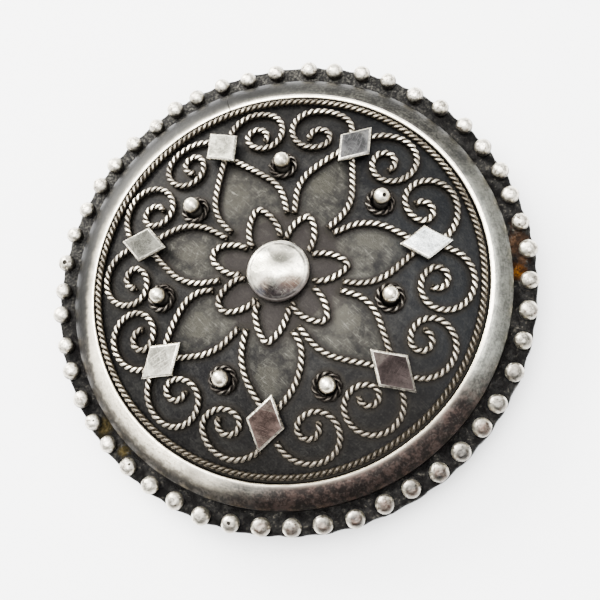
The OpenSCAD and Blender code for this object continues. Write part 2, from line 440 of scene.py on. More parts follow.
@dataclass(frozen=True)
class OxidisedPlate(Finish):
    """Dark oxide on the domed plate, darker still beside the wires with painted shade, rubbed greener and scratched
    inside the petals, browner round the boss.
    """

    name: str = "oxidised_plate"
    dark: Colour = (0.0062, 0.0061, 0.0064)
    middle: Colour = (0.0145, 0.0141, 0.0135)
    brown: Colour = (0.0125, 0.0108, 0.01)
    rubbed: Colour = (0.0265, 0.0252, 0.0205)
    scratch: Colour = (0.085, 0.082, 0.07)
    # Painted shade: the plate darker towards the bottom
    lower_painted_shade: Colour = (0.005, 0.0046, 0.0043)
    upper_left_dark: Colour = (0.0055, 0.0053, 0.005)
    right_blue: Colour = (0.0088, 0.0097, 0.0108)
    # Where the petals' insides are rubbed most: x, y, half width, half height
    cloths: tuple[tuple[float, ...], ...] = (
        (-4.3, 7.4, 1.6, 1.9), (3.6, 8.4, 1.5, 1.8), (8.3, 3.0, 2.0, 1.3), (5.9, -4.2, 1.6, 1.4),
        (-0.8, -9.2, 1.3, 2.0), (-7.0, -4.4, 1.7, 1.4), (-8.0, 2.4, 1.8, 1.2),
    )
    # Direction in degrees, length, width, share of the plate
    scratches: tuple[tuple[float, ...], ...] = (
        (-48.0, 3.0, 0.09, 0.1), (-42.0, 1.6, 0.08, 0.12), (35.0, 1.6, 0.08, 0.09), (80.0, 1.6, 0.08, 0.08),
        (-30.0, 1.2, 0.07, 0.1),
    )

    def surface(self, g: Graph, place: Value) -> bpy.types.Material:
        """Dresses the surface."""
        flat = g.flat(place)
        cloud = g.noise(place, 0.3, 5.0, 0.6)
        blots = g.noise(place, 1.2, 4.0, 0.6)
        grain = g.noise(place, 5.0, 4.0, 0.7)
        scratches = g.largest(*(g.streaks(flat, *row) for row in self.scratches))
        cloths = g.largest(*(g.patch(place, (x, y), (wide, high), blots.sway(1.6))
                             for x, y, wide, high in self.cloths))
        # Away from the wires, granules and edge; the dark lines beside them are oxide with painted shade
        open_plate = 1.0 - g.attribute("oxide_and_shade")
        patchy = g.step(cloud * 0.5 + blots * 0.5, 0.34, 0.64, 0.15, 0.8)
        rubbed = g.attribute("field") * g.largest(patchy, cloths) * open_plate
        tone = g.mix(self.dark, self.middle, g.step(cloud * 0.4 + blots * 0.25 + grain * 0.35, 0.4, 0.6))
        tone = g.mix(tone, self.brown, g.step(g.from_axis(place, MIDDLE) + blots.sway(1.0), 5.2, 6.8, 0.85, 0.0))
        tone = g.mix(tone, self.rubbed, rubbed, ratio=2.3)
        # Painted shade, darker towards the bottom
        lower = g.side(place, (-0.4, 1.0), cloud.sway(8.0), -4.0, -15.0)
        tone = g.mix(tone, self.lower_painted_shade, lower * 0.6, ratio=0.5)
        upper_left = g.side(place, (-1.0, 0.6), cloud.sway(6.0), 2.0, 12.0)
        tone = g.mix(tone, self.upper_left_dark, upper_left * 0.35, ratio=0.5)
        tone = g.mix(tone, self.right_blue, g.side(place, (1.0, 0.3), cloud.sway(6.0), 7.0, 14.0) * 0.5)
        scored = scratches * (0.12 + 0.4 * rubbed) * open_plate * g.step(blots, 0.4, 0.62, 0.25, 1.0)
        tone = g.mix(tone, self.scratch, scored * 1.6, ratio=7.0)
        tone = g.mix(tone, self.scratch, g.step(grain, 0.48, 0.78) * (0.2 + 0.2 * rubbed), ratio=7.0)
        # Oxide with painted shade beside the wires, granules and edge
        colour = g.mix(OXIDE, tone, g.step(open_plate, 0.0, 0.95), ratio=2.0)
        normal = g.bump(scratches * (0.3 + 0.7 * rubbed), -0.004, g.bump(grain, 0.03, g.bump(cloud, 0.1)))
        return g.metal(colour, 0.5 - 0.06 * rubbed + grain.sway(0.14), normal)


@dataclass(frozen=True)
class BezelSilver(Finish):
    """The plain ring: a polished inner edge, a brushed grey slope with painted highlight, reflection and shade on some
    sides, and brown tarnish with painted reflection to the lower right.
    """

    name: str = "bezel_silver"
    lip_r: float = 17.8
    foot_r: float = 20.0
    foot_z: float = 4.85
    tarnish_and_reflection_bearing: float = -63.0
    seam_bearing: float = 108.5
    slope: tuple[Colour, Colour] = ((0.034, 0.0342, 0.032), (0.112, 0.108, 0.091))
    # Painted highlight on the right slope next to the lip
    right: Colour = (0.23, 0.232, 0.2)
    # Painted reflection on the left slope
    left: Colour = (0.85, 0.775, 0.61)
    left_warm: Colour = (0.15, 0.122, 0.088)
    lower_left: tuple[Colour, Colour] = ((0.026, 0.0235, 0.021), (0.07, 0.0625, 0.053))
    # Painted highlight along the top left's crest, and painted shade on its slope
    top_left_glow: Colour = (0.36, 0.33, 0.258)
    top_left: tuple[Colour, Colour] = ((0.0175, 0.0172, 0.0164), (0.0085, 0.0083, 0.008))
    top_right: Colour = (0.018, 0.017, 0.0152)
    brown: tuple[Colour, Colour] = ((0.0105, 0.0087, 0.0079), (0.0325, 0.0225, 0.0192))
    brown_grain: Colour = (0.05, 0.0455, 0.041)
    dull_crest: Colour = (0.13, 0.113, 0.087)
    dull_edge: Colour = (0.42, 0.375, 0.28)
    wall: Colour = (0.095, 0.082, 0.059)

    def surface(self, g: Graph, place: Value) -> bpy.types.Material:
        """Dresses the surface."""
        x, y, z = g.apart(place)
        r = g.from_axis(place)
        cloud = g.noise(place, 0.3, 5.0, 0.6)
        spots = g.noise(place, 1.4, 5.0, 0.62)
        grain = g.noise(place, 5.0, 3.0, 0.65)
        # Fine marks that run round the ring
        brushed = g.noise(g.together(g.maths("ARCTAN2", y, x) * 12.0, r * 10.0, z * 10.0), 1.0, 3.0, 0.6)
        mottled = grain * 0.4 + spots * 0.35 + brushed * 0.25
        blotch = g.step(spots * 0.7 + grain * 0.3, 0.42, 0.6)
        # Distance from the lip, which stands further out on the right side
        across = r - self.lip_r - g.largest(x, 0.0) * (LIP_SHIFT / self.lip_r)

        slope = g.mix(*self.slope, g.step(mottled * 0.7 + cloud * 0.3, 0.4, 0.6))
        # Painted highlight: the right slope lighter next to the lip, fading outwards
        right = (g.side(place, (1.0, -0.35), cloud.sway(8.0), 10.0, 17.0)
                 * g.step(across + spots.sway(1.0), 1.1, 2.5, 1.0, 0.4))
        slope = g.mix(slope, self.right, right * g.step(mottled, 0.38, 0.6, 0.45, 1.0), ratio=4.0)

        # The left side, its slope painted bright as a reflection as far as a reach that grows downwards, with warmer
        # blotches
        reach = g.step(y + spots.sway(4.0), -3.0, -11.0, 0.55, 1.35)
        left = (g.side(place, (1.0, 0.5), cloud.sway(12.0), -11.0, -19.0)
                * g.fade(across + spots.sway(1.1) - reach, 0.0, 0.6))
        slope = g.mix(slope, self.left, left * g.step(mottled, 0.35, 0.6, 0.75, 1.0), ratio=14.0)
        warm = g.step(y, 0.0, -13.0) * g.step(grain * 0.6 + brushed * 0.4, 0.46, 0.64)
        slope = g.mix(slope, self.left_warm, left * warm * 0.75, ratio=0.25)
        lower_left = (g.step(across + spots.sway(1.6), 0.9, 1.7) * g.side(place, (0.3, 1.0), 0.0, -2.0, -11.0)
                      * g.step(x, 4.0, -6.0))
        slope = g.mix(slope, g.mix(*self.lower_left, blotch), lower_left * 0.85, ratio=0.2)

        # The top: on the left a painted highlight along the crest over painted shade on the slope, dark spots on the
        # right
        top_left = g.side(place, (-1.0, 0.8), cloud.sway(10.0), 10.0, 20.0)
        crest = g.step(across + spots.sway(0.4), 0.1, 0.8, 0.7, 0.0)
        slope = g.mix(slope, self.top_left_glow, top_left * crest, ratio=8.0)
        # Painted shade on the top left's slope, darkest at its outer part
        deep = g.mix(*self.top_left, g.step(across, 1.1, 1.9))
        slope = g.mix(slope, deep, top_left * g.step(across + spots.sway(0.5), 0.15, 1.05) * 0.95, ratio=0.12)
        top_right = (g.side(place, (1.0, 1.0), cloud.sway(10.0), 17.0, 24.0)
                     * g.side(place, (-0.8, 1.0), 0.0, -4.0, 4.0))
        slope = g.mix(slope, self.top_right, top_right * g.step(mottled, 0.4, 0.58, 0.9, 0.3), ratio=0.25)

        # Brown tarnish with painted reflection on one side, and a duller edge, also painted reflection, reaching
        # further round
        bearing = math.radians(self.tarnish_and_reflection_bearing)
        way = (math.cos(bearing) / self.foot_r, math.sin(bearing) / self.foot_r)
        # Tarnish with painted reflection: the lower right darker and browner, its lip duller
        tarnish_and_reflection = g.side(place, way, cloud.sway(0.3), 0.66, 0.88)
        brown = g.mix(g.mix(*self.brown, blotch), self.brown_grain, g.step(grain, 0.5, 0.75) * 0.6, ratio=3.0)
        slope = g.mix(slope, brown, tarnish_and_reflection, ratio=0.3)
        crest = g.fade(across + spots.sway(0.3) + grain.sway(0.3), 0.05, 0.6)
        dull = g.mix(slope, self.dull_crest, crest * g.step(mottled, 0.35, 0.65, 0.5, 1.0), ratio=6.0)
        crest = g.fade(across + spots.sway(0.2), 0.12, 0.32)
        dull = g.mix(dull, self.dull_edge, crest * g.step(brushed, 0.38, 0.62, 0.5, 1.0), ratio=4.0)

        # The polished edge, narrower and softer on the left
        soft = g.step(x, -14.0, 6.0, 0.22, 0.05)
        width = g.step(x, -12.0, 0.0, 0.26, 0.38)
        ragged = spots.sway(0.2) * g.step(x, -14.0, 6.0, 1.5, 0.3)
        polish = g.fade(across + ragged - width, -soft, soft)
        edge = g.mix(slope, g.mix(SILVER, WARM_SILVER, g.step(brushed, 0.42, 0.75)), polish, ratio=10.0)
        colour = g.mix(edge, dull, g.side(place, way, cloud.sway(0.2), 0.45, 0.78), ratio=0.5)

        # The dark foot, the wall under the lip and the seam
        foot = g.step(z + spots.sway(0.5), self.foot_z - 0.3, self.foot_z + 0.35)
        colour = g.mix(OXIDE, colour, foot, ratio=10.0)
        colour = g.mix(colour, self.wall, g.fade(across, 0.0, 0.06) * g.fade(z, 5.55, 5.75), ratio=0.15)
        bearing = math.radians(self.seam_bearing)
        beside = g.maths("ABSOLUTE", x * math.sin(bearing) - y * math.cos(bearing))
        seam = g.fade(beside, 0.03, 0.08) * g.step(y, 0.0, 1.0)
        colour = g.mix(colour, OXIDE, seam * 0.35, ratio=0.03)
        rough = 0.42 - 0.16 * polish + 0.08 * tarnish_and_reflection + grain.sway(0.15)
        return g.metal(colour, rough, g.bump(mottled, 0.02, g.bump(spots - seam, 0.035)))


@dataclass(frozen=True)
class BeadSilver(Finish):
    """Beads rubbed bright on top, grey on their flanks, dark at the foot, with a grey spot of painted shade and
    reflection and a few pinholes.
    """

    name: str = "bead_silver"
    dirt_z: float = 4.15
    flank_z: float = 4.85
    lit: Colour = (0.95, 0.885, 0.74)
    lit_grey: Colour = (0.25, 0.22, 0.172)
    dirt: Colour = (0.06, 0.044, 0.034)
    shade: tuple[Colour, Colour] = ((0.026, 0.0245, 0.0228), (0.04, 0.0275, 0.0225))
    flank: tuple[Colour, Colour] = ((0.03, 0.0255, 0.0205), (0.11, 0.098, 0.08))

    def surface(self, g: Graph, place: Value) -> bpy.types.Material:
        """Dresses the surface."""
        _, _, z = g.apart(place)
        cloud = g.noise(place, 0.9, 3.0)
        fine = g.noise(place, 3.5, 4.0, 0.62)
        painted_shade_spot = g.attribute("shaded")
        clean = g.step(z + fine.sway(0.6), self.dirt_z - 0.1, self.dirt_z + 0.25)
        top = g.step(z + fine.sway(0.7) + cloud.sway(0.5) + g.attribute("near") * 0.6,
                     self.flank_z - 0.2, self.flank_z + 0.2)
        lit = g.mix(self.lit, self.lit_grey, g.step(cloud * 0.35 + fine * 0.65, 0.5, 0.68))
        lit = g.mix(lit, self.dirt, g.step(fine, 0.56, 0.7) * 0.6, ratio=0.1)
        shade = g.mix(*self.shade, g.step(cloud, 0.42, 0.58))
        # Painted shade and reflection: a grey spot on the bead's lower right, strongest on the near side
        lit = g.mix(lit, shade, painted_shade_spot + fine.sway(0.5) * painted_shade_spot, ratio=0.06)
        flank = g.mix(*self.flank, g.step(fine, 0.4, 0.62))
        colour = g.mix(g.mix(OXIDE, flank, clean, ratio=10.0), lit, top * clean, ratio=6.0)
        pit = g.step(g.attribute("pit") + fine.sway(0.4), 0.3, 0.75)
        colour = g.mix(colour, OXIDE, pit, ratio=0.02)
        scratches = g.streaks(place, 30.0, 0.6, 0.06, 0.12)
        return g.metal(colour, 0.46 - 0.16 * top, g.bump(fine - pit * 2.0 - scratches * 0.5, 0.06))


@dataclass(frozen=True)
class Stain:
    """Round stains of one kind: x, y and radius of each, and the colours of its dark and light parts."""

    spots: tuple[Point, ...]
    dark: Colour
    light: Colour


@dataclass(frozen=True)
class FlangeOxide(Finish):
    """The rough black rim between the beads, with rust and an olive stain, and a plainer back."""

    name: str = "flange_oxide"
    rim: tuple[Colour, Colour] = ((0.0048, 0.0045, 0.0044), (0.0125, 0.012, 0.0115))
    rubbed: Colour = (0.05, 0.046, 0.038)
    top_left: tuple[Colour, Colour] = ((0.014, 0.0135, 0.0135), (0.07, 0.067, 0.058))
    back: tuple[Colour, Colour] = ((0.03, 0.0285, 0.026), (0.1, 0.098, 0.092))
    # Olive, umber and rust, one over the other
    stains: tuple[Stain, ...] = (
        Stain(((-16.6, -12.7, 1.0), (-14.6, -14.9, 0.7)), (0.011, 0.009, 0.0045), (0.04, 0.03, 0.012)),
        Stain(((20.5, 3.3, 1.3), (20.5, 4.9, 0.8), (20.9, 1.9, 0.6)), (0.014, 0.0086, 0.006), (0.055, 0.03, 0.017)),
        Stain(((20.35, 0.75, 1.0),), (0.016, 0.0072, 0.0034), (0.085, 0.031, 0.0045)),
    )

    def surface(self, g: Graph, place: Value) -> bpy.types.Material:
        """Dresses the surface."""
        _, _, z = g.apart(place)
        flat = g.flat(place)
        lumps = g.noise(place, 1.1, 4.0, 0.62)
        fine = g.noise(place, 4.5, 4.0, 0.66)
        high = g.step(lumps * 0.4 + fine * 0.6, 0.52, 0.66)
        colour = g.mix(g.mix(*self.rim, g.step(lumps, 0.38, 0.62)), self.rubbed, high, ratio=6.0)
        top_left = g.side(place, (-0.5, 1.0), lumps.sway(8.0), 4.0, 18.0)
        colour = g.mix(colour, g.mix(*self.top_left, g.step(fine, 0.42, 0.62)), top_left * 0.8, ratio=3.0)
        for stain in self.stains:
            tint = g.mix(stain.dark, stain.light, g.step(fine * 0.5 + lumps * 0.5, 0.42, 0.58))
            for x, y, r in stain.spots:
                out = g.far(flat, (x, y, 0.0)) + fine.sway(1.8) + lumps.sway(1.0)
                colour = g.mix(colour, tint, g.fade(out, r * 0.55, r * 1.05), ratio=2.0)
        under = g.fade(z, 3.25, 3.35)
        scratches = g.largest(g.streaks(flat, 25.0, 4.0, 0.1, 0.08), g.streaks(flat, -60.0, 3.0, 0.1, 0.08))
        colour = g.mix(colour, g.mix(*self.back, g.step(lumps * 0.7 + scratches * 0.4, 0.3, 0.8)), under)
        normal = g.bump(fine, 0.09, g.bump(lumps * (1.0 - under), 0.3))
        return g.metal(colour, 0.62 - 0.15 * high - 0.14 * under, normal)


@dataclass(frozen=True)
class LozengeSilver(Finish):
    """A flat lozenge: a face of one tone with fine scratches, and rubbed bright bevels with painted shade on the lower
    right.
    """

    face: Colour
    roughness: float = 0.3
    scratch_angle: float = 30.0
    # How far the bevels on its lower right go towards the face's tone, as painted shade
    lower_bevel_shade: float = 0.4
    grey_bevel: Colour = (0.2, 0.188, 0.16)

    def surface(self, g: Graph, place: Value) -> bpy.types.Material:
        """Dresses the surface."""
        cloud = g.noise(place, 0.8, 4.0, 0.6)
        fine = g.noise(place, 4.0, 4.0, 0.65)
        reach = g.attribute("rim")
        lower = g.attribute("lower")
        edge = g.step(reach + fine.sway(0.05), 0.93, 0.995)
        scratches = g.largest(g.streaks(place, self.scratch_angle, 1.2, 0.07, 0.14),
                              g.streaks(place, self.scratch_angle + 75.0, 1.0, 0.07, 0.12))
        darker = tuple(0.55 * part for part in self.face)
        lighter = tuple(min(1.0, 2.2 * part) for part in self.face)
        face = g.mix(darker, self.face, g.step(cloud * 0.6 + fine * 0.4, 0.42, 0.56))
        face = g.mix(face, lighter, g.step(reach * 0.5 + cloud * 0.6, 0.62, 0.95) * 0.8)
        face = g.mix(face, lighter, scratches * 0.45)
        face = g.mix(face, lighter, g.step(lower, 0.5, 1.0) * g.step(cloud, 0.35, 0.6) * 0.5)
        rim = g.mix(SILVER, self.grey_bevel, g.step(fine * 0.6 + cloud * 0.4, 0.45, 0.62))
        # Painted shade on the lower right's bevels
        rim = g.mix(rim, lighter, g.step(lower, 0.45, 0.8) * self.lower_bevel_shade, ratio=0.3)
        colour = g.mix(face, rim, edge, brighter(self.face, SILVER))
        colour = g.mix(OXIDE, colour, g.step(g.over_dome(place), 0.72, 0.95), ratio=40.0)
        rough = self.roughness + fine.sway(0.12) - 0.04 * edge + 0.06 * scratches
        return g.metal(colour, rough, g.bump(scratches, -0.008, g.bump(cloud, 0.06)))


@dataclass(frozen=True)
class GranuleSilver(Finish):
    """Bright balls with painted shade, browner on their lower flanks and greyer to the lower right, on dark solder."""

    name: str = "granule_silver"
    flank: tuple[Colour, Colour] = ((0.03, 0.025, 0.021), (0.11, 0.1, 0.088))
    # Grey for the painted shade on the balls' lower right
    worn: Colour = (0.06, 0.055, 0.047)

    def surface(self, g: Graph, place: Value) -> bpy.types.Material:
        """Dresses the surface."""
        above = g.over_dome(place)
        cloud = g.noise(place, 1.0, 3.0)
        fine = g.noise(place, 4.0, 3.0, 0.6)
        clean = g.step(above + fine.sway(0.3), 0.4, 0.8)
        # Painted shade: the ball's lower flanks darker than its top
        top = g.step(above + cloud.sway(0.4) + fine.sway(0.3), 0.9, 1.3)
        flank = g.mix(*self.flank, g.step(cloud * 0.5 + fine * 0.5, 0.4, 0.6))
        lit = g.mix(SILVER, WARM_SILVER, g.step(cloud, 0.45, 0.65))
        colour = g.mix(g.mix(OXIDE, flank, clean, ratio=14.0), lit, top, ratio=8.0)
        # Painted shade on the ball's lower right
        colour = g.mix(colour, self.worn, g.attribute("shaded"), ratio=0.1)
        pit = g.step(g.attribute("pit") + fine.sway(0.3), 0.3, 0.7)
        colour = g.mix(colour, OXIDE, pit, ratio=0.02)
        return g.metal(colour, 0.42 - 0.14 * top, g.bump(fine - pit * 2.0, 0.03))


@dataclass(frozen=True)
class BossSilver(Finish):
    """The hammered boss: soft bright facets with grey patches, darker along its lower edge with brown, grey and blue
    tints and painted reflection.
    """

    name: str = "boss_silver"
    middle: tuple[float, float] = (0.2, -0.07)
    # From the middle: x, y, half width, half height, strength, colour; the dark ones along the lower edge are painted
    # reflection as well as tint
    stains: tuple[tuple[Any, ...], ...] = (
        (0.3, 0.9, 1.15, 0.75, 0.85, (0.05, 0.05, 0.041)), (-1.85, 0.3, 0.5, 0.85, 0.6, (0.1, 0.105, 0.075)),
        (-1.15, 1.8, 0.6, 0.35, 0.75, (0.07, 0.07, 0.066)), (1.2, 2.15, 1.0, 0.35, 0.7, (0.08, 0.084, 0.076)),
        (-0.9, -1.65, 0.9, 0.9, 0.9, (0.07, 0.047, 0.037)), (0.25, -1.5, 0.9, 0.75, 0.95, (0.028, 0.0305, 0.0275)),
        (1.5, -1.35, 1.1, 0.85, 0.95, (0.025, 0.0145, 0.0105)), (0.5, -2.55, 2.2, 0.95, 1.0, (0.0075, 0.0059, 0.0062)),
        (-1.85, -1.9, 0.6, 0.45, 0.85, (0.034, 0.0365, 0.046)), (-2.3, -0.9, 0.4, 0.8, 0.4, (0.1, 0.1, 0.09)),
    )
    facet_grey: Colour = (0.34, 0.325, 0.28)
    # Radii of a dark band and a light line that run round near the edge
    band_r: float = 2.4
    line_r: float = 2.62
    band: Colour = (0.04, 0.037, 0.035)
    line: Colour = (0.3, 0.29, 0.27)
    lower_edge: Colour = (0.07, 0.06, 0.055)

    def surface(self, g: Graph, place: Value) -> bpy.types.Material:
        """Dresses the surface."""
        x, y, _ = g.apart(place)
        local = g.together(x - self.middle[0], y - self.middle[1], 0.0)
        out = g.far(local)
        cloud = g.noise(place, 0.9, 4.0, 0.6)
        fine = g.noise(place, 4.0, 4.0, 0.65)
        scratches = g.largest(g.streaks(place, -40.0, 1.0, 0.07, 0.13), g.streaks(place, 50.0, 0.8, 0.07, 0.1))
        colour = g.mix(SILVER, self.facet_grey, g.step(cloud * 0.5 + fine * 0.5, 0.48, 0.64) * 0.7)
        ragged = cloud.sway(1.3) + fine.sway(0.7)
        for across, up, wide, high, strength, tint in self.stains:
            mask = g.patch(local, (across, up), (wide, high), ragged, 0.0)
            colour = g.mix(colour, tint, mask * strength * (1.0 - 0.3 * scratches), ratio=sum(tint) / 1.8)
        band = g.fade(g.maths("ABSOLUTE", out - self.band_r), 0.04, 0.13)
        colour = g.mix(colour, self.band, band * g.step(cloud, 0.42, 0.62, 0.08, 0.6), ratio=0.08)
        line = g.fade(g.maths("ABSOLUTE", out - self.line_r), 0.03, 0.1)
        colour = g.mix(colour, self.line, line * g.step(cloud, 0.4, 0.6, 0.8, 0.1))
        # Painted reflection: the lower edge darker
        lower_edge = g.step(out, 2.45, 2.65) * g.side(place, (-0.3, 1.0), 0.0, 0.5, -1.5)
        colour = g.mix(colour, self.lower_edge, lower_edge * g.step(cloud, 0.35, 0.65, 0.95, 0.6), ratio=0.1)
        colour = g.mix(OXIDE, colour, g.step(g.over_dome(place) + fine.sway(0.1), 0.66, 0.86), ratio=60.0)
        return g.metal(colour, 0.3 + fine.sway(0.1), g.bump(scratches, -0.012, g.bump(fine, 0.012)))


@dataclass(frozen=True)
class PinSilver(Finish):
    """The plain pin on the back: dull grey metal, rubbed on its edges."""

    name: str = "pin_silver"
    grey: tuple[Colour, Colour] = ((0.09, 0.086, 0.08), (0.3, 0.29, 0.27))

    def surface(self, g: Graph, place: Value) -> bpy.types.Material:
        """Dresses the surface."""
        cloud = g.noise(place, 0.5, 4.0, 0.6)
        fine = g.noise(place, 4.0, 3.0, 0.6)
        scratches = g.streaks(place, 10.0, 2.0, 0.08, 0.12)
        colour = g.mix(*self.grey, g.step(cloud * 0.6 + fine * 0.4, 0.35, 0.65))
        colour = g.mix(colour, SILVER, scratches * 0.3)
        return g.metal(colour, 0.36 + fine.sway(0.2), g.bump(fine, 0.02, g.bump(cloud, 0.05)))


# ---------------------------------------------------------------------------------------------
# Modelling by hand


def alone(piece: bpy.types.Object) -> None:
    """Makes a piece the active one, with nothing else selected."""
    if bpy.context.object is not None and bpy.context.object.mode != "OBJECT":
        bpy.ops.object.mode_set(mode="OBJECT")
    bpy.ops.object.select_all(action="DESELECT")
    piece.select_set(True)
    bpy.context.view_layer.objects.active = piece


def linked(name: str, data: Any) -> bpy.types.Object:
    """A new object in the scene."""
    made = bpy.data.objects.new(name, data)
    bpy.context.collection.objects.link(made)
    return made


def primitive(add: Callable[..., set[str]], **settings: Any) -> bpy.types.Object:
    """Adds a shape by one of Blender's operators, its place and turn taken up in its points."""
    bpy.ops.object.select_all(action="DESELECT")
    add(**settings)
    bpy.ops.object.transform_apply(location=True, rotation=True, scale=True)
    return bpy.context.object


@contextmanager
def editing(piece: bpy.types.Object) -> Iterator[None]:
    """Edit mode on a piece, with everything selected at its start."""
    alone(piece)
    bpy.ops.object.mode_set(mode="EDIT")
    bpy.ops.mesh.select_all(action="SELECT")
    yield
    bpy.ops.object.mode_set(mode="OBJECT")


def pick(piece: bpy.types.Object, wanted: Callable[[Vector, Vector], bool]) -> None:
    """Selects the faces whose middle and normal answer, in edit mode."""
    bpy.ops.mesh.select_mode(type="FACE")
    bpy.ops.mesh.select_all(action="DESELECT")
    mesh = bmesh.from_edit_mesh(piece.data)
    for face in mesh.faces:
        face.select_set(wanted(face.calc_center_median(), face.normal))
    mesh.select_flush_mode()
    bmesh.update_edit_mesh(piece.data)


def modify(piece: bpy.types.Object, kind: str, **settings: Any) -> None:
    """Adds a modifier with its settings and applies it."""
    alone(piece)
    made = piece.modifiers.new(kind.lower(), kind)
    for name, setting in settings.items():
        setattr(made, name, setting)
    bpy.ops.object.modifier_apply(modifier=made.name)


def roughen(piece: bpy.types.Object, size: float, depth: float, levels: int = 2) -> None:
    """Moves a surface in and out by clouds, as hand work leaves it.

    Args:
        piece: The piece.
        size: Size of a hollow, in millimetres.
        depth: Whole depth, in millimetres.
        levels: Levels of detail.
    """
    clouds = bpy.data.textures.new("hand_work", "CLOUDS")
    clouds.noise_scale = size
    clouds.noise_depth = levels
    modify(piece, "DISPLACE", texture=clouds, strength=depth, mid_level=0.5, texture_coords="LOCAL")
    bpy.data.textures.remove(clouds)


def points_of(piece: bpy.types.Object) -> np.ndarray:
    """The vertices of a piece, one row each."""
    flat = np.zeros(len(piece.data.vertices) * 3, np.float32)
    piece.data.vertices.foreach_get("co", flat)
    return flat.reshape(-1, 3).astype(float)


def move_points(piece: bpy.types.Object, points: np.ndarray) -> None:
    """Puts the vertices of a piece at new points."""
    piece.data.vertices.foreach_set("co", points.astype(np.float32).ravel())
    piece.data.update()


def away(points: np.ndarray, x: float = 0.0, y: float = 0.0) -> np.ndarray:
    """How far points lie from an upright axis."""
    return np.hypot(points[:, 0] - x, points[:, 1] - y)


def push_out(points: np.ndarray, by: np.ndarray) -> None:
    """Moves points away from the brooch's axis."""
    points[:, :2] *= (1 + by / np.maximum(away(points), 1.0))[:, None]


def ramp(values: np.ndarray, start: float, end: float) -> np.ndarray:
    """0 to 1 as values go from start to end."""
    return np.clip((values - start) / (end - start), 0.0, 1.0)


def store(piece: bpy.types.Object, name: str, values: np.ndarray) -> None:
    """Stores a number in each vertex, for its material to read."""
    made = piece.data.attributes.new(name, "FLOAT", "POINT")
    made.data.foreach_set("value", values.astype(np.float32))


def face_outwards() -> None:
    """Turns all faces outwards, in edit mode."""
    bpy.ops.mesh.select_all(action="SELECT")
    bpy.ops.mesh.normals_make_consistent(inside=False)


def tidy_surface(piece: bpy.types.Object, merge: float = MERGE) -> None:
    """Merges doubles and turns all faces outwards."""
    with editing(piece):
        bpy.ops.mesh.remove_doubles(threshold=merge)
        face_outwards()


def turned(name: str, outline: list[tuple[float, float]], steps: int) -> bpy.types.Object:
    """Turns an outline about the Z axis, as on a lathe.

    Args:
        name: Name of the piece.
        outline: Points of radius and height, closed on itself or from axis to axis.
        steps: Steps round.

    Returns:
        The piece, closed and facing outwards.
    """
    last = len(outline) - 1
    edges = [(i, i + 1) for i in range(last)]
    if outline[0][0] > MERGE:
        edges.append((last, 0))
    mesh = bpy.data.meshes.new(name)
    mesh.from_pydata([(r, 0.0, z) for r, z in outline], edges, [])
    piece = linked(name, mesh)
    with editing(piece):
        bpy.ops.mesh.spin(steps=steps, angle=2 * math.pi, center=(0, 0, 0), axis=(0, 0, 1))
    tidy_surface(piece)
    return piece


def joined(name: str, pieces: list[bpy.types.Object]) -> bpy.types.Object:
    """Joins pieces into the first one."""
    alone(pieces[0])
    for piece in pieces:
        piece.select_set(True)
    bpy.ops.object.join()
    pieces[0].name = name
    return pieces[0]


def hand_over(piece: bpy.types.Object, name: str, material: bpy.types.Material, slot: Slot,
              nodes: list[str], smooth: float = 180.0) -> None:
    """Finishes a piece: metres, shading, material, and what it stands for.

    Args:
        piece: The piece, in millimetres.
        name: Its name.
        material: Its material.
        slot: The record's slot; not used.
        nodes: The solids it stands for.
        smooth: Edges flatter than this many degrees are smooth.
    """
    alone(piece)
    piece.scale = (MM, MM, MM)
    bpy.ops.object.transform_apply(location=True, rotation=True, scale=True)
    if smooth >= 180.0:
        bpy.ops.object.shade_smooth()
    else:
        bpy.ops.object.shade_smooth_by_angle(angle=math.radians(smooth))
    piece.data.materials.clear()
    piece.data.materials.append(material)
    piece.name = piece.data.name = name
    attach(piece, BODY)
    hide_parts(*nodes)
    LOG.info("%s: %d faces", name, len(piece.data.polygons))


def outwards(x: float, y: float, heading: float, sphere_r: float) -> Matrix:
    """The turn that points z out of a sphere round the dome's middle, above x, y, and x along a heading."""
    bearing = math.atan2(y, x)
    lean = math.asin(math.hypot(x, y) / sphere_r)
    return (Matrix.Rotation(bearing, 4, "Z") @ Matrix.Rotation(lean, 4, "Y")
            @ Matrix.Rotation(math.radians(heading) - bearing, 4, "Z"))


def on_dome(x: float, y: float, heading: float, height: float = 0.0) -> Matrix:
    """The place above x, y at a height over the dome, with local x along a heading and z outwards."""
    return (Matrix.Translation(DOME_MID) @ outwards(x, y, heading, DOME_R)
            @ Matrix.Translation((0.0, 0.0, DOME_R + height)))


def dome_z(r: Any, height: float = 0.0) -> Any:
    """How high a height over the dome is at a distance from its axis, for a number or an array."""
    return DOME_MID.z + np.sqrt((DOME_R + height) ** 2 - r * r)


# ---------------------------------------------------------------------------------------------
# Twisted wire


class Course:
    """A line on the dome at the height of a wire's middle, made of arcs."""

    def __init__(self, x: float, y: float, heading: float, height: float = 0.33) -> None:
        """Starts above x, y on a heading in degrees."""
        self.sphere_r = DOME_R + height
        self.turns = [outwards(x, y, heading, self.sphere_r).to_3x3()]

    def go(self, length: float, turn: float = 0.0) -> "Course":
        """Follows an arc of a length in millimetres and a turn in degrees to the left."""
        side = -1.0 if turn < 0 else 1.0
        tilt = side * math.atan2(length, math.radians(abs(turn)) * self.sphere_r)
        sweep = length / (self.sphere_r * math.sin(tilt))
        # A point every 8 degrees or half a millimetre
        rings = max(2, math.ceil(abs(turn) / 8.0), math.ceil(length / 0.5))
        start = self.turns[-1]
        for k in range(1, rings + 1):
            self.turns.append(start @ Matrix.Rotation(-tilt, 3, "X")
                              @ Matrix.Rotation(sweep * k / rings, 3, "Z") @ Matrix.Rotation(tilt, 3, "X"))
        return self

    def points(self) -> list[Vector]:
        """The points of the line."""
        return [DOME_MID + turn.col[2] * self.sphere_r for turn in self.turns]


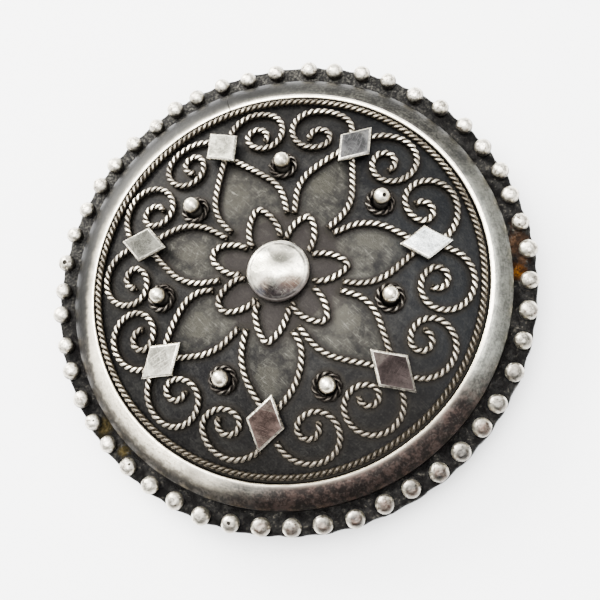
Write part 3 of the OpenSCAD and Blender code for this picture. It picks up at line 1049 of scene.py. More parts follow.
@dataclass(frozen=True)
class Twist:
    """Two strands twisted into one wire, with a left-handed lay."""

    strand: float = 0.151
    pitch: float = 1.2
    sides: int = 10
    steps: int = 16
    # Length over which the ends lose their shine
    dull_end: float = 0.25

    def straight(self, length: float, turns: float, fade: bool) -> bpy.types.Object:
        """A straight piece of wire along X.

        Args:
            length: Its length.
            turns: Turns of the strands over that length.
            fade: Whether its ends are dull.

        Returns:
            The wire, its ends closed, with "crown" from 0 between the strands to 1 on their backs.
        """
        flatter = math.hypot(1.0, 2 * math.pi * self.strand / self.pitch)
        wire = primitive(bpy.ops.mesh.primitive_circle_add, vertices=self.sides, radius=self.strand,
                         fill_type="NOTHING", location=(0, 0, 0), rotation=(0, math.pi / 2, 0))
        with editing(wire):
            bpy.ops.transform.resize(value=(1, 1, flatter), center_override=(0, 0, 0))
            bpy.ops.transform.translate(value=(0, self.strand, 0))
            bpy.ops.mesh.duplicate()
            bpy.ops.transform.resize(value=(1, -1, 1), center_override=(0, 0, 0))
        steps = math.ceil(turns * self.steps)
        modify(wire, "SCREW", axis="X", angle=-2 * math.pi * turns, screw_offset=length, steps=steps,
               render_steps=steps, use_smooth_shade=True, use_merge_vertices=False)
        with editing(wire):
            bpy.ops.mesh.fill_holes(sides=0)
            face_outwards()
        points = points_of(wire)
        crown = np.hypot(points[:, 1], points[:, 2]) / (2 * self.strand)
        if fade:
            crown *= ramp(np.minimum(points[:, 0], length - points[:, 0]), 0.0, self.dull_end)
        store(wire, "crown", crown)
        return wire

    def along(self, points: list[Vector], closed: bool = False) -> bpy.types.Object:
        """The wire bent along a line of points, closed on itself or not."""
        ends = points + points[:1] if closed else points
        length = sum((b - a).length for a, b in zip(ends, ends[1:]))
        turns = round(length / self.pitch) if closed else length / self.pitch
        wire = self.straight(length, turns, not closed)
        curve = bpy.data.curves.new("bend", "CURVE")
        curve.dimensions = "3D"
        curve.twist_mode = "Z_UP"
        spline = curve.splines.new("POLY")
        spline.points.add(len(points) - 1)
        spline.points.foreach_set("co", [part for point in points for part in (*point, 1.0)])
        spline.use_cyclic_u = closed
        bend = linked("bend", curve)
        modify(wire, "CURVE", object=bend, deform_axis="POS_X")
        bpy.data.objects.remove(bend)
        bpy.data.curves.remove(curve)
        if closed:
            tidy_surface(wire, 2 * MERGE)
        return wire

    def ring(self, point: Callable[[float], Vector], steps: int) -> bpy.types.Object:
        """The wire bent to a ring, from what gives the point at an angle."""
        return self.along([point(2 * math.pi * k / steps) for k in range(steps)], closed=True)


def wear_flat(wire: bpy.types.Object, above: float, keep: float) -> None:
    """Wears the backs of a wire: what stands higher over the dome than a height keeps a share of the rest."""
    points = points_of(wire) - np.array(DOME_MID)
    out = np.linalg.norm(points, axis=1)
    high = out - DOME_R
    worn = np.where(high > above, above + (high - above) * keep, high)
    move_points(wire, points * ((DOME_R + worn) / out)[:, None] + np.array(DOME_MID))


# ---------------------------------------------------------------------------------------------
# The pieces


@dataclass
class WireWork:
    """Scrolls, petals and rosette, bent from twisted wire along arcs on the dome."""

    twist: Twist = field(default_factory=Twist)
    tuck: float = 0.6
    # x, y, heading, then tail, bow, neck and eye, each a radius and a turn
    scrolls: tuple[tuple[float, ...], ...] = (
        (-5.15, 14.35, 70, 2.7, 95, 2.05, 100, 1.65, 110, 0.92, 250),
        (6.1, 13.8, 91, 1.95, 54, 4.1, 42, 2.05, 200, 0.92, 255),
        (7.85, 13.05, 17, 3.8, 43, 2.35, 155, 1.6, 125, 0.95, 210),
        (14.55, 3.4, 48, 3.65, 60, 2.35, 105, 2, 120, 0.92, 250),
        (14.8, 2.1, -16, 2.8, 120, 2.45, 60, 1.95, 130, 0.95, 245),
        (12, -9.1, -6, 2.9, 70, 2.55, 75, 1.8, 137, 0.92, 255),
        (10.7, -10.75, -79, 2.6, 87, 2.45, 93, 1.85, 115, 0.87, 250),
        (0.35, -14.95, -55, 3.1, 79, 2.2, 117, 1.8, 99, 0.95, 245),
        (-1.9, -15.45, -147, 3, 113, 1.5, 63, 1.95, 77, 1, 262),
        (-11.65, -9.25, -106, 3.15, 76, 2.25, 120, 1.9, 104, 0.92, 250),
        (-12.2, -8.1, -174, 2.9, 78, 2.4, 97, 1.85, 142, 0.92, 233),
        (-14.85, 2.9, -155, 2.9, 62, 2.5, 106, 1.75, 135, 0.92, 223),
        (-14.6, 4.8, 116, 3.3, 55, 2.35, 135, 1.7, 116, 0.98, 233),
        (-7.35, 13.4, 170, 3.4, 69, 1.9, 119, 1.7, 124, 0.88, 250),
    )
    # x, y, heading, straight, bow length and turn, far length and turn
    limbs: tuple[tuple[float, ...], ...] = (
        (-4.3, 3.85, 136, 0.9, 3.2, -50, 4.4, -6), (0.7, 5.45, 104, 1.3, 3, 43, 5, 2),
        (1.35, 5.4, 87, 1.7, 2.8, -44, 4.4, -14), (4.35, 3.9, 44, 1.2, 3, 45, 4.3, 8),
        (4.8, 3.4, 26, 1.2, 4.2, -55, 2.8, 0), (5.7, -1, -5, 1, 3.6, 48, 3.3, 0),
        (5.5, -1.75, -14, 0.9, 3.4, -57, 4.4, -3), (2, -4.85, -51, 1.5, 3, 38, 4.3, 6),
        (1.45, -5.25, -50, 0.4, 1.6, -38, 6.4, -61), (-2.6, -4.95, -102, 1.2, 4, 42, 3.3, 8),
        (-3.25, -4.85, -135, 1.5, 3.2, -42, 3, 0), (-5.7, -1.45, 174, 0.2, 3, 62, 4.8, 22),
        (-5.1, -0.55, 187, 1.2, 4, -51, 3.1, -3), (-4.65, 3.3, 149, 1.6, 4.4, 54, 2.2, 6),
    )
    # x, y, heading, tip radius and turn, side radius, left and right turn, left and right foot
    loops: tuple[tuple[float, ...], ...] = (
        (-1.95, 5.85, 106, 0.45, 46, 3.75, 44, 42, 0.6, 0.5), (2.6, 5, 72, 0.5, 47, 3.1, 42, 50, 0.3, 0.4),
        (6.1, 0.55, 5, 0.45, 47, 3.4, 52, 44, 0, 0.6), (4.25, -4.3, -46, 0.6, 50, 3.4, 46, 38, 0, 0.9),
        (-0.75, -6.15, -98, 0.4, 47, 4.4, 38, 34, 0.5, 0.9), (-5.05, -2.95, -150, 1, 60, 3.5, 34, 32, 0.7, 0.9),
        (-5.85, 1.95, 161, 0.95, 58, 3.5, 34, 40, 0.8, 0.1),
    )
    foot_turn: float = 55.0  # degrees a millimetre

    def scroll_course(self, i: int) -> list[Vector]:
        """The line of a scroll, from under its lozenge to the middle of its spiral."""
        x, y, heading, *arcs = self.scrolls[i]
        way = -1 if i % 2 == 0 else 1
        a = math.radians(heading)
        course = Course(x - self.tuck * math.cos(a), y - self.tuck * math.sin(a), heading).go(self.tuck)
        for radius, turn in zip(arcs[::2], arcs[1::2]):
            course.go(radius * math.radians(turn), way * turn)
        return course.points()

    def limb_course(self, i: int) -> list[Vector]:
        """The line of a petal's wire, from its inner end."""
        x, y, heading, straight, bow, bow_turn, far, far_turn = self.limbs[i]
        return Course(x, y, heading).go(straight).go(bow, bow_turn).go(far, far_turn).points()

    def petal_outline(self, i: int) -> list[Vector]:
        """The line round a petal's inside."""
        return self.limb_course(2 * i) + self.limb_course(2 * i + 1)[::-1]

    def loop_course(self, i: int) -> list[Vector]:
        """The line of a rosette loop, from its left end round its tip to the right end."""
        x, y, heading, tip_r, tip_turn, side_r, left_turn, right_turn, left_foot, right_foot = self.loops[i]
        halves = []
        for side, turn, foot in ((1, left_turn, left_foot), (-1, right_turn, right_foot)):
            course = Course(x, y, heading + 90 * side)
            course.go(tip_r * math.radians(tip_turn), side * tip_turn).go(side_r * math.radians(turn), side * turn)
            if foot:
                course.go(foot, side * foot * self.foot_turn)
            halves.append(course.points())
        return halves[0][::-1] + halves[1][1:]

    def all_points(self) -> list[Vector]:
        """The points of all the lines."""
        wires = ((self.scroll_course, self.scrolls), (self.limb_course, self.limbs), (self.loop_course, self.loops))
        return [point for course, rows in wires for i in range(len(rows)) for point in course(i)]

    def build(self) -> None:
        """Bends and dresses all the wires."""
        material = TwistSilver().material()
        for i in range(len(self.scrolls)):
            wire = self.bent(self.scroll_course(i))
            hand_over(wire, f"twisted_scroll_{i + 1}", material, Slot.WIRE, [f"scroll_{i + 1}"])
        for i in range(LOBES):
            limbs = [self.bent(self.limb_course(2 * i)), self.bent(self.limb_course(2 * i + 1))]
            hand_over(joined("petal", limbs), f"twisted_petal_{i + 1}", material, Slot.WIRE, [f"petal_{i + 1}"])
            wire = self.bent(self.loop_course(i))
            hand_over(wire, f"twisted_loop_{i + 1}", material, Slot.WIRE, [f"rosette_{i + 1}"])

    def bent(self, course: list[Vector]) -> bpy.types.Object:
        """One wire bent along its line and worn on top."""
        wire = self.twist.along(course)
        roughen(wire, size=0.7, depth=0.035)
        wear_flat(wire, above=0.55, keep=0.45)
        return wire


@dataclass
class RopeRing:
    """The thin rope of wire inside the bezel."""

    radius: float = 17.3
    # How far it sinks for each millimetre that it stands further out
    fall: float = 0.3
    twist: Twist = field(default_factory=lambda: Twist(strand=0.145, pitch=1.13))

    def point(self, angle: float) -> Vector:
        """The point of its line at an angle."""
        z = dome_z(self.radius, GAP + 2 * self.twist.strand)
        shift = LIP_SHIFT * max(0.0, math.cos(angle))
        r = self.radius + shift
        return Vector((r * math.cos(angle), r * math.sin(angle), z - self.fall * shift))

    def build(self) -> None:
        """Twists the rope round."""
        rope = self.twist.ring(self.point, 180)
        roughen(rope, size=0.7, depth=0.03)
        hand_over(rope, "rope_wire", ROPE_SILVER.material(), Slot.WIRE, ["rope_ring"])


def within(points: np.ndarray, outline: list[Vector]) -> np.ndarray:
    """1 for the points inside an outline, seen from above, and 0 for the rest."""
    odd = np.zeros(len(points), bool)
    for a, b in zip(outline, outline[1:] + outline[:1]):
        if abs(b.y - a.y) > 1e-9:
            across = a.x + (points[:, 1] - a.y) * (b.x - a.x) / (b.y - a.y)
            odd ^= ((a.y > points[:, 1]) != (b.y > points[:, 1])) & (points[:, 0] < across)
    return odd.astype(float)


@dataclass
class DomedPlate:
    """The plate that carries the filigree, darkened beside the wires by oxide and painted shade."""

    edge_r: float = 17.7
    edge_z: float = 4.6
    # Width of each ring of its top's mesh
    step: float = 0.2
    # Radii between which it comes to stand further out on the right side
    shifted: tuple[float, float] = (15.5, 17.5)
    # Distances from a wire, a granule and the edge at which the oxide and painted shade start and are full
    beside_wire: tuple[float, float] = (1.0, 0.4)
    beside_granule: tuple[float, float] = (1.7, 1.2)
    beside_edge: tuple[float, float] = (0.7, 0.3)
    fullest: float = 0.9

    def build(self, wires: WireWork) -> None:
        """Turns the plate and marks where it is dark and where it is rubbed."""
        rings = round(self.edge_r / self.step)
        bottom = FLANGE_Z + GAP
        outline = [(r, dome_z(r)) for r in (self.edge_r * k / rings for k in range(rings + 1))]
        outline += [(self.edge_r, self.edge_z), (self.edge_r, bottom), (self.edge_r * 0.5, bottom), (0.0, bottom)]
        plate = turned("dome", outline, steps=320)
        points = points_of(plate)
        out = away(points)
        shift = LIP_SHIFT * ramp(points[:, 0], 0.0, self.edge_r) * ramp(out, *self.shifted)
        push_out(points, shift)
        points[:, 2] = np.where(points[:, 2] > self.edge_z + 0.1, dome_z(out + shift), points[:, 2])
        move_points(plate, points)
        roughen(plate, size=3.5, depth=0.05)
        self.mark(plate, wires)
        hand_over(plate, "oxidised_dome", OxidisedPlate().material(), Slot.PLATE, ["dome_plate"], smooth=35.0)

    def mark(self, plate: bpy.types.Object, wires: WireWork) -> None:
        """Marks the dark lines beside the wires, granules and edge, oxide with painted shade, and the petals' insides
        as "field".
        """
        lines = wires.all_points()
        tree = KDTree(len(lines))
        for i, point in enumerate(lines):
            tree.insert(point, i)
        tree.balance()
        points = points_of(plate)
        from_wire = np.array([tree.find(Vector(point))[2] for point in points])
        from_granule = np.min([away(points, x, y) for x, y, _, _ in Granules().rows], axis=0)
        # Oxide and painted shade beside the wires, the granules and the plate's edge
        oxide_and_shade = np.maximum.reduce([ramp(from_wire, *self.beside_wire) ** 1.5,
                                   ramp(from_granule, *self.beside_granule),
                                   ramp(self.edge_r - away(points), *self.beside_edge)])
        store(plate, "oxide_and_shade", oxide_and_shade * self.fullest)
        inside = [within(points, wires.petal_outline(i)) for i in range(LOBES)]
        store(plate, "field", np.max(inside, axis=0))


@dataclass
class Bezel:
    """The plain ring with a rounded crown."""

    foot_r: float = 20.0
    foot_h: float = 0.5
    lip_r: float = 17.8
    crown_r: float = 2.8
    crown_mid: tuple[float, float] = (17.95, 3.1)
    crown_steps: int = 24
    lip_w: float = 0.4
    wall_z: float = 5.3
    # Points of the rounded lip, from its radius outwards and from the crown's top upwards
    lip: tuple[tuple[float, float], ...] = ((0.3, 0.0), (0.22, 0.01), (0.14, 0.0), (0.07, -0.03), (0.02, -0.08),
                                            (0.0, -0.17))
    # Radii between which it comes to stand further out on the right side
    shifted: tuple[float, float] = (19.3, 18.3)

    def build(self) -> None:
        """Turns the ring and leaves it slightly uneven."""
        bottom = FLANGE_Z + GAP
        mid_r, mid_z = self.crown_mid
        start = math.acos((self.foot_r - mid_r) / self.crown_r)
        end = math.acos((self.lip_r + self.lip_w - mid_r) / self.crown_r)
        outline = [(self.foot_r, bottom), (self.foot_r, bottom + self.foot_h)]
        outline += [(mid_r + self.crown_r * math.cos(a), mid_z + self.crown_r * math.sin(a))
                    for a in (start + (end - start) * k / self.crown_steps for k in range(self.crown_steps + 1))]
        outline += [(self.lip_r + out, mid_z + self.crown_r + up) for out, up in self.lip]
        outline += [(self.lip_r, self.wall_z), (self.lip_r, bottom)]
        ring = turned("bezel", outline, steps=300)
        points = points_of(ring)
        push_out(points, LIP_SHIFT * ramp(points[:, 0], 0.0, self.lip_r) * ramp(away(points), *self.shifted))
        move_points(ring, points)
        roughen(ring, size=2.4, depth=0.07)
        hand_over(ring, "bezel_crown", BezelSilver().material(), Slot.BEZEL, ["bezel_ring"], smooth=40.0)


@dataclass
class BeadedBorder:
    """Fifty cast beads set by hand round the rim."""

    count: int = 50
    radius: float = 0.78
    ring_r: float = 21.35
    lift: float = 0.66
    first_at: float = 165.0
    # Beads that stand clearly off their even place: number, degrees, millimetres outwards
    strays: tuple[tuple[int, float, float], ...] = (
        (0, 0, 0.18), (3, 0.6, 0), (4, 0.5, 0), (5, 0.2, -0.25), (6, 0.8, 0.1), (7, 1.6, 0), (8, 1.6, 0),
        (9, 1.7, -0.22), (10, 1.4, -0.1), (12, 0.5, 0), (13, 0.6, 0.2), (14, 0.8, 0.23), (16, 0, 0.25),
        (17, -0.4, 0.33), (18, -0.5, 0.2), (19, -0.6, 0.24), (22, 0.4, 0.14), (26, -0.4, 0.13), (27, -1.3, 0),
        (28, -0.5, 0), (29, -0.5, 0), (31, 0, -0.22), (32, 0.3, -0.12), (33, 0.2, 0.16), (37, 0, 0.13),
        (38, 0, 0.24), (42, -0.4, 0), (44, 0.6, 0), (46, 0.5, 0), (47, -0.5, 0.18), (48, 0.6, 0.08), (49, 0.4, 0.2),
    )
    # Pinholes in the beads: number, then x, y and radius; and how wide a pinhole's edge is
    pits: dict[int, tuple[float, float, float]] = field(default_factory=lambda: {
        49: (0.0, -0.16, 0.28), 43: (0.2, 0.1, 0.16), 41: (0.34, 0.05, 0.18), 37: (0.0, 0.05, 0.2)})
    pit_edge: float = 0.14
    # Middle of the spot of painted shade and reflection, and its radii where it starts and is full
    shade_at: tuple[float, float] = (0.13, -0.2)
    shade_r: tuple[float, float] = (0.74, 0.38)
    # Bearing opposite the side where the beads are lower and wider and carry more painted shade
    far_bearing: float = 60.0
    # Height over the rim from which a bead is worn, and the share of the rest that is left
    worn_from: float = 1.42
    kept: float = 0.5
    most_lean: float = 0.12

    def places(self) -> list[tuple[float, float]]:
        """The middle of each bead, seen from above."""
        off = {number: (turn, out) for number, turn, out in self.strays}
        places = []
        for i in range(self.count):
            turn, out = off.get(i, (0.0, 0.0))
            a = math.radians(self.first_at - 360 / self.count * i + turn)
            places.append(((self.ring_r + out) * math.cos(a), (self.ring_r + out) * math.sin(a)))
        return places

    def bead(self) -> bpy.types.Object:
        """One bead, cut flat where it stands."""
        bead = primitive(bpy.ops.mesh.primitive_uv_sphere_add, segments=28, ring_count=18, radius=self.radius,
                         location=(0, 0, FLANGE_Z + self.lift))
        with editing(bead):
            bpy.ops.mesh.bisect(plane_co=(0, 0, FLANGE_Z + GAP), plane_no=(0, 0, 1), clear_inner=True, use_fill=True)
        return bead

    def worn(self, shape: np.ndarray, near_side: float, rng: random.Random) -> np.ndarray:
        """The points of a bead, worn on top, widened and leaned by chance."""
        up = shape[:, 2] - FLANGE_Z
        flat_at = self.worn_from - 0.1 * near_side - rng.uniform(0.0, 0.07)
        points = shape.copy()
        points[:, 2] = FLANGE_Z + np.where(up > flat_at, flat_at + (up - flat_at) * self.kept, up)
        wide = rng.uniform(0.97, 1.04) + 0.07 * near_side
        points[:, 0] *= wide * rng.uniform(0.97, 1.03)
        points[:, 1] *= wide * rng.uniform(0.97, 1.03)
        lean = (Matrix.Rotation(rng.uniform(-self.most_lean, self.most_lean), 3, "X")
                @ Matrix.Rotation(rng.uniform(-self.most_lean, self.most_lean), 3, "Y"))
        middle = np.array((0.0, 0.0, FLANGE_Z + self.lift))
        leaned = (points - middle) @ np.array(lean).T + middle
        # The foot stays where it stands
        share = ramp(points[:, 2] - FLANGE_Z, 0.1, 0.5)[:, None]
        return points * (1 - share) + leaned * share

    def build(self) -> None:
        """Copies the bead round the rim, each a little different."""
        rng = random.Random(50)
        model = self.bead()
        shape = points_of(model)
        up = shape[:, 2] - FLANGE_Z
        beads = []
        for i, (x, y) in enumerate(self.places()):
            bead = linked("bead", model.data.copy())
            near_side = max(0.0, math.cos(math.atan2(y, x) + math.radians(self.far_bearing)))
            points = self.worn(shape, near_side, rng)
            # Painted shade: a grey spot on the lower right of each bead, stronger on the near side
            shade = (0.12 + 0.88 * near_side ** 1.5) * rng.uniform(0.8, 1.0)
            store(bead, "shaded", ramp(away(shape, *self.shade_at), *self.shade_r) * (up > 0.6) * shade)
            store(bead, "near", np.full(len(points), near_side))
            pit_x, pit_y, pit_r = self.pits.get(i, (0.0, 0.0, 0.0))
            pit = ramp(away(shape, pit_x, pit_y), pit_r, pit_r - self.pit_edge)
            store(bead, "pit", pit * (up > 0.7))
            move_points(bead, points + np.array((x, y, 0.0)))
            beads.append(bead)
        bpy.data.objects.remove(model)
        border = joined("beads", beads)
        roughen(border, size=0.5, depth=0.08)
        hand_over(border, "beaded_border", BeadSilver().material(), Slot.BEAD, ["border_beads"])


@dataclass
class BackPlate:
    """The round plate whose rim carries the beads."""

    radius: float = 22.0
    thickness: float = 0.7
    hidden_r: float = 19.0
    # Height of the solder round a bead
    solder: float = 0.16

    def build(self, beads: list[tuple[float, float]]) -> None:
        """Turns the plate, bulges its edge round the beads and roughens the rim."""
        low = FLANGE_Z - self.thickness
        rim = self.radius
        outline = [(0.0, low), (10.0, low), (self.hidden_r, low), (rim - 0.25, low), (rim - 0.08, low + 0.06),
                   (rim, low + 0.2), (rim, FLANGE_Z - 0.25), (rim - 0.06, FLANGE_Z - 0.08), (rim - 0.2, FLANGE_Z)]
        outline += [(rim - 0.2 - 0.15 * k, FLANGE_Z) for k in range(1, 13)]
        outline += [(self.hidden_r, FLANGE_Z), (0.0, FLANGE_Z)]
        plate = turned("flange", outline, steps=500)
        points = points_of(plate)
        out = away(points)
        near = np.min([away(points, x, y) for x, y in beads], axis=0)
        edge = ramp(out, 21.0, 21.8)
        push_out(points, edge * (0.12 - 0.13 * ramp(near, 0.7, 1.35)))
        rim_part = ramp(out, 19.9, 20.2) * (points[:, 2] > FLANGE_Z - 0.01)
        points[:, 2] += rim_part * (1 - edge) * self.solder * ramp(near, 1.35, 0.85)
        move_points(plate, points)
        roughen(plate, size=0.55, depth=0.1, levels=3)
        hand_over(plate, "rough_flange", FlangeOxide().material(), Slot.FLANGE, ["back_plate"], smooth=50.0)


@dataclass
class Lozenges:
    """Seven flat lozenges with bevelled, rubbed edges."""

    height: float = 0.66
    thickness: float = 0.45
    bevel: float = 0.15
    inset: float = 0.07
    # x, y, bearing of the long diagonal, long, short, finish, lean along, lean across (degrees)
    rows: tuple[tuple[Any, ...], ...] = (
        (-5.7, 12.25, 128, 4.5, 3.5, "warm", 2, 0), (6.4, 11.8, 52, 4.7, 3.3, "grey", 0, 1),
        (12.6, 2.45, 6, 4.6, 3.1, "cool", -1, 0), (9.8, -8.5, -43, 5.3, 3.55, "dark", 0, -1),
        (-0.75, -12.78, 255.5, 5.05, 3.4, "brown", 1, 0), (-10.1, -7.4, 219, 4.9, 3.4, "pale", 0, 1),
        (-12.4, 3.2, 167, 4.8, 3.3, "olive", 0, 0),
    )
    # Name, face, roughness, angle of the scratches, share of painted shade on the lower right's bevels
    finishes: tuple[tuple[Any, ...], ...] = (
        ("warm", (0.165, 0.16, 0.132)), ("pale", (0.28, 0.268, 0.222)), ("cool", (0.4, 0.42, 0.41), 0.26),
        ("grey", (0.052, 0.0515, 0.0515), 0.36, 70.0), ("olive", (0.031, 0.0306, 0.026), 0.36, 30.0),
        ("dark", (0.0092, 0.007, 0.0066), 0.36, -20.0, 0.7), ("brown", (0.0215, 0.0148, 0.0127), 0.34, -20.0, 0.6),
    )

    def build(self) -> None:
        """Cuts, bevels and dresses each lozenge."""
        finishes = {name: LozengeSilver(f"lozenge_{name}", *looks).material() for name, *looks in self.finishes}
        for i, (x, y, bearing, long, short, finish, along, across) in enumerate(self.rows):
            plate = self.plate(long, short)
            lean = Matrix.Rotation(math.radians(along), 4, "Y") @ Matrix.Rotation(math.radians(across), 4, "X")
            plate.data.transform(on_dome(x, y, bearing, self.height) @ lean)
            points = points_of(plate)
            # Its lower right, where its bevels carry painted shade
            store(plate, "lower", np.clip(0.5 + 0.196 * (points[:, 0] - x - points[:, 1] + y), 0, 1))
            hand_over(plate, f"bevelled_lozenge_{i + 1}", finishes[finish], Slot.LOZENGE, [f"lozenge_{i + 1}"],
                      smooth=38.0)

    def plate(self, long: float, short: float) -> bpy.types.Object:
        """One lozenge lying flat, its long diagonal along X."""
        plate = primitive(bpy.ops.mesh.primitive_circle_add, vertices=4, radius=1.0, fill_type="NGON",
                          location=(0, 0, 0))
        a, b = long / 2, short / 2
        shrink = self.bevel * math.hypot(a, b) / (a * b)
        with editing(plate):
            bpy.ops.transform.resize(value=(a, b, 1), center_override=(0, 0, 0))
            bpy.ops.mesh.extrude_region_move(TRANSFORM_OT_translate={"value": (0, 0, self.thickness - self.bevel)})
            bpy.ops.mesh.extrude_region_move(TRANSFORM_OT_translate={"value": (0, 0, self.bevel)})
            bpy.ops.transform.resize(value=(1 - shrink, 1 - shrink, 1), center_override=(0, 0, 0))
            bpy.ops.mesh.inset(thickness=self.inset)
            face_outwards()
            bpy.ops.mesh.subdivide(number_cuts=1)
        modify(plate, "BEVEL", width=0.05, segments=2, limit_method="ANGLE", angle_limit=math.radians(25))
        points = points_of(plate)
        reach = np.abs(points[:, 0]) / a + np.abs(points[:, 1]) / b
        store(plate, "rim", np.minimum(reach / (1 - shrink), 1.0))
        roughen(plate, size=1.3, depth=0.05)
        return plate


@dataclass
class Granules:
    """Seven balls, each on a round of solder in a collar of coarse twisted wire."""

    # x, y of the ball, then how far the collar stands off it
    rows: tuple[tuple[float, ...], ...] = (
        (0.05, 10.3, -0.02, -0.12), (8.85, 6.53, -0.12, -0.18), (9.65, -2.2, 0, -0.12), (4.45, -9.7, -0.08, -0.12),
        (-4.6, -9.1, 0, -0.1), (-10.6, -1.7, 0, -0.1), (-7.95, 6.45, 0.05, -0.15),
    )
    ball_r: float = 0.75
    lift: float = 1.03
    # Outline of the solder: radius and height over the dome
    solder: tuple[tuple[float, float], ...] = ((0.0, GAP), (0.92, GAP), (0.9, 0.16), (0.7, 0.3), (0.55, 0.5),
                                               (0.0, 0.6))
    collar_r: float = 1.08
    collar: Twist = field(default_factory=lambda: Twist(strand=0.14, pitch=1.35))
    # Middle and radii of the spot of painted shade, then the number of the ball with a pinhole and the same for it
    shade_at: tuple[float, float] = (0.2, -0.28)
    shade_r: tuple[float, float] = (0.5, 0.1)
    pitted: int = 1
    pit_at: tuple[float, float] = (0.2, -0.2)
    pit_r: tuple[float, float] = (0.27, 0.07)

    def ball(self, pitted: bool, rng: random.Random) -> bpy.types.Object:
        """A ball on its solder, at the origin."""
        ball = primitive(bpy.ops.mesh.primitive_uv_sphere_add, segments=32, ring_count=20, radius=self.ball_r,
                         location=(0, 0, self.lift))
        ball = joined("granule", [ball, turned("solder", list(self.solder), steps=32)])
        ball.data.transform(Matrix.Diagonal((rng.uniform(0.96, 1.02), rng.uniform(0.96, 1.02), 1.0, 1.0)))
        points = points_of(ball)
        upper = points[:, 2] > self.lift
        # Painted shade on the lower right of the ball
        shade = ramp(away(points, *self.shade_at), *self.shade_r) * rng.uniform(0.1, 0.3)
        store(ball, "shaded", shade * upper)
        store(ball, "pit", ramp(away(points, *self.pit_at), *self.pit_r) * upper * pitted)
        roughen(ball, size=0.9, depth=0.05)
        return ball

    def build(self) -> None:
        """Builds each ball and its collar."""
        rng = random.Random(7)
        silver, twisted = GranuleSilver().material(), COLLAR_SILVER.material()
        for i, (x, y, collar_x, collar_y) in enumerate(self.rows):
            ball = self.ball(i == self.pitted, rng)
            ball.data.transform(on_dome(x, y, 0.0))
            hand_over(ball, f"granule_ball_{i + 1}", silver, Slot.GRANULE, [f"granule_{i + 1}"], smooth=60.0)
            seat = on_dome(x + collar_x, y + collar_y, rng.uniform(0, 360), GAP + 2 * self.collar.strand)
            collar = self.collar.ring(
                lambda a: seat @ Vector((self.collar_r * math.cos(a), self.collar_r * math.sin(a), 0.0)), 36)
            roughen(collar, size=0.6, depth=0.06)
            hand_over(collar, f"granule_collar_{i + 1}", twisted, Slot.GRANULE, [f"granule_{i + 1}"])


@dataclass
class Boss:
    """The flattened dome in the middle, hammered into soft facets."""

    x: float = 0.2
    y: float = -0.07
    radius: float = 2.75
    height: float = 1.55
    rim: float = 0.25
    under: float = 0.66
    rings: int = 26
    # Hammer marks: bearing, lean of the facet (degrees), distance of its plane under the top
    marks: tuple[tuple[float, float, float], ...] = (
        (100, 4, 0.05), (20, 13, 0.1), (150, 14, 0.1), (-60, 12, 0.09), (-130, 15, 0.11), (-15, 17, 0.14),
        (75, 17, 0.15),
    )
    # Share of what stands over a facet that a hammer takes off
    struck: float = 0.7

    def build(self) -> None:
        """Turns the boss and hammers it."""
        crown = self.height - self.under - self.rim
        curve = (self.radius ** 2 + crown ** 2) / (2 * crown)
        outline = [(r, self.height - curve + math.sqrt(curve * curve - r * r))
                   for r in (self.radius * 0.975 * k / self.rings for k in range(self.rings + 1))]
        outline += [(self.radius, self.under + self.rim * 0.75), (self.radius, self.under + 0.1),
                    (self.radius - 0.1, self.under), (1.0, self.under), (0.9, GAP), (0.0, GAP)]
        boss = turned("boss", outline, steps=96)
        points = points_of(boss)
        top = points[:, 2] > self.under + self.rim * 0.8
        for bearing, lean, deep in self.marks:
            b, t = math.radians(bearing), math.radians(lean)
            facing = np.array((math.sin(t) * math.cos(b), math.sin(t) * math.sin(b), math.cos(t)))
            touch = np.array((0.0, 0.0, self.height - curve)) + facing * (curve - deep)
            over = (points - touch) @ facing
            points -= np.where((over > 0) & top, over * self.struck, 0.0)[:, None] * facing
        move_points(boss, points)
        roughen(boss, size=1.1, depth=0.04)
        boss.data.transform(on_dome(self.x, self.y, 0.0))
        hand_over(boss, "hammered_boss", BossSilver().material(), Slot.BOSS, ["boss"], smooth=50.0)


@dataclass
class Pin:
    """The hidden pin: two feet and a stem, one plain piece."""

    foot_x: float = 13.0
    foot_l: float = 5.0
    foot_w: float = 6.0
    foot_h: float = 3.17
    stem_r: float = 0.45
    stem_z: float = 1.3
    # The stem thins from here to its end
    thins_from: float = 8.0
    thinner: float = 0.55

    def foot(self, side: int) -> bpy.types.Object:
        """The foot on one side, with rounded edges."""
        foot = primitive(bpy.ops.mesh.primitive_cube_add, size=1.0,
                         location=(side * (self.foot_x + self.foot_l / 2), 0, self.foot_h / 2),
                         scale=(self.foot_l, self.foot_w, self.foot_h))
        modify(foot, "BEVEL", width=0.35, segments=4, limit_method="ANGLE")
        return foot

    def build(self) -> None:
        """Builds the feet and the stem."""
        feet = [self.foot(-1), self.foot(1)]
        stem = primitive(bpy.ops.mesh.primitive_cylinder_add, vertices=28, radius=self.stem_r,
                         depth=2 * (self.foot_x + 1.0), location=(0, 0, self.stem_z), rotation=(0, math.pi / 2, 0))
        with editing(stem):
            bpy.ops.mesh.bisect(plane_co=(self.thins_from, 0, 0), plane_no=(1, 0, 0))
            pick(stem, lambda middle, normal: normal.x > 0.9)
            bpy.ops.transform.resize(value=(1, self.thinner, self.thinner), center_override=(0, 0, self.stem_z))
        pin = joined("pin", [*feet, stem])
        roughen(pin, size=2.0, depth=0.03)
        points = points_of(pin)
        points[:, 2] = np.maximum(points[:, 2], 0.0)
        move_points(pin, points)
        hand_over(pin, "plain_pin", PinSilver().material(), Slot.PIN, ["pin_clasp"], smooth=40.0)


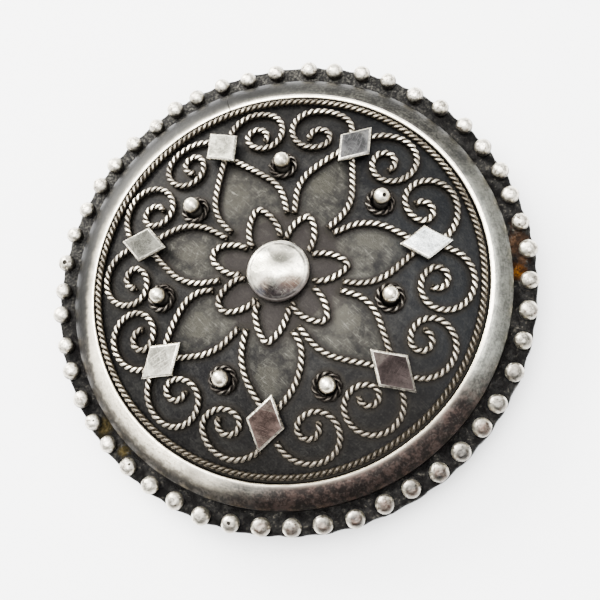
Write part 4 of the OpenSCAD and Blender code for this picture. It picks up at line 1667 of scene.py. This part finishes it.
@dataclass
class Studio:
    """Pale floor, soft lights and the camera at the photograph's angle."""

    tilt: float = 19.1
    tilt_bearing: float = 125.9
    distance: float = 87.7
    shift: tuple[float, float] = (-1.227, 1.378)
    look_z: float = 4.58
    lens: float = 58.42
    sensor: float = 36.0
    # Name, place (metres), size, power, colour
    lights: tuple[tuple[Any, ...], ...] = (
        ("key", (-0.23, 0.21, 0.19), 0.16, 3.2, (1.0, 0.98, 0.94)),
        ("top", (0.0, 0.02, 0.34), 0.26, 4.2, (1.0, 1.0, 1.0)),
        ("fill", (0.22, -0.12, 0.16), 0.16, 0.5, (0.97, 0.98, 1.0)),
    )
    # Where the sky is brightest, and its strength a quarter turn away and there
    sky_way: Point = (-0.33, 0.33, 0.88)
    sky: tuple[float, float] = (0.12, 4.2)
    floor_tones: tuple[Colour, Colour] = ((0.97, 0.97, 0.97), (1.0, 1.0, 1.0))

    def build(self) -> None:
        """Sets up the floor, the lights and the camera."""
        self.floor()
        self.world()
        for name, place, size, power, colour in self.lights:
            light = bpy.data.lights.new(name, "AREA")
            light.shape, light.size, light.energy, light.color = "SQUARE", size, power, colour
            lamp = linked(name, light)
            lamp.location = place
            lamp.rotation_euler = (-Vector(place)).to_track_quat("-Z", "Y").to_euler()
        self.camera()

    def floor(self) -> None:
        """A wide plain pale floor."""
        floor = primitive(bpy.ops.mesh.primitive_plane_add, size=1.6, location=(0, 0, 0))
        g = Graph("pale_floor")
        colour = g.mix(*self.floor_tones, g.noise(g.place(), 0.02, 2.0))
        floor.data.materials.append(g.metal(colour, 0.8, metallic=0.0))
        floor.name = floor.data.name = "floor"

    def world(self) -> None:
        """Soft light from all round, brightest from above and the upper left."""
        world = bpy.data.worlds.new("studio")
        bpy.context.scene.world = world
        world.use_nodes = True
        tree = world.node_tree
        way = tree.nodes.new("ShaderNodeTexCoord")
        facing = tree.nodes.new("ShaderNodeVectorMath")
        facing.operation = "DOT_PRODUCT"
        facing.inputs[1].default_value = Vector(self.sky_way).normalized()
        rise = tree.nodes.new("ShaderNodeMapRange")
        for socket, value in zip(rise.inputs[1:5], (0.0, 1.0, *self.sky)):
            socket.default_value = value
        back = tree.nodes["Background"]
        back.inputs["Color"].default_value = opaque((1.0, 1.0, 1.0))
        tree.links.new(way.outputs["Generated"], facing.inputs[0])
        tree.links.new(facing.outputs["Value"], rise.inputs[0])
        tree.links.new(rise.outputs[0], back.inputs["Strength"])

    def camera(self) -> None:
        """The camera where the photograph was taken from."""
        bearing = math.radians(self.tilt_bearing)
        axis = Vector((-math.sin(bearing), math.cos(bearing), 0.0))
        turn = Matrix.Rotation(math.radians(self.tilt), 4, axis).transposed()
        place = turn @ Vector((-self.shift[0], -self.shift[1], self.distance)) + Vector((0, 0, self.look_z))
        data = bpy.data.cameras.new("camera")
        data.lens, data.sensor_width, data.clip_start, data.clip_end = self.lens, self.sensor, 0.005, 10.0
        camera = linked("camera", data)
        camera.matrix_world = Matrix.Translation(place * MM) @ turn
        bpy.context.scene.camera = camera


def main() -> None:
    """Builds the studio and every piece, in order."""
    Studio().build()
    beads = BeadedBorder()
    wires = WireWork()
    BackPlate().build(beads.places())
    Bezel().build()
    DomedPlate().build(wires)
    beads.build()
    RopeRing().build()
    wires.build()
    Lozenges().build()
    Granules().build()
    Boss().build()
    Pin().build()


if __name__ == "__main__":
    main()
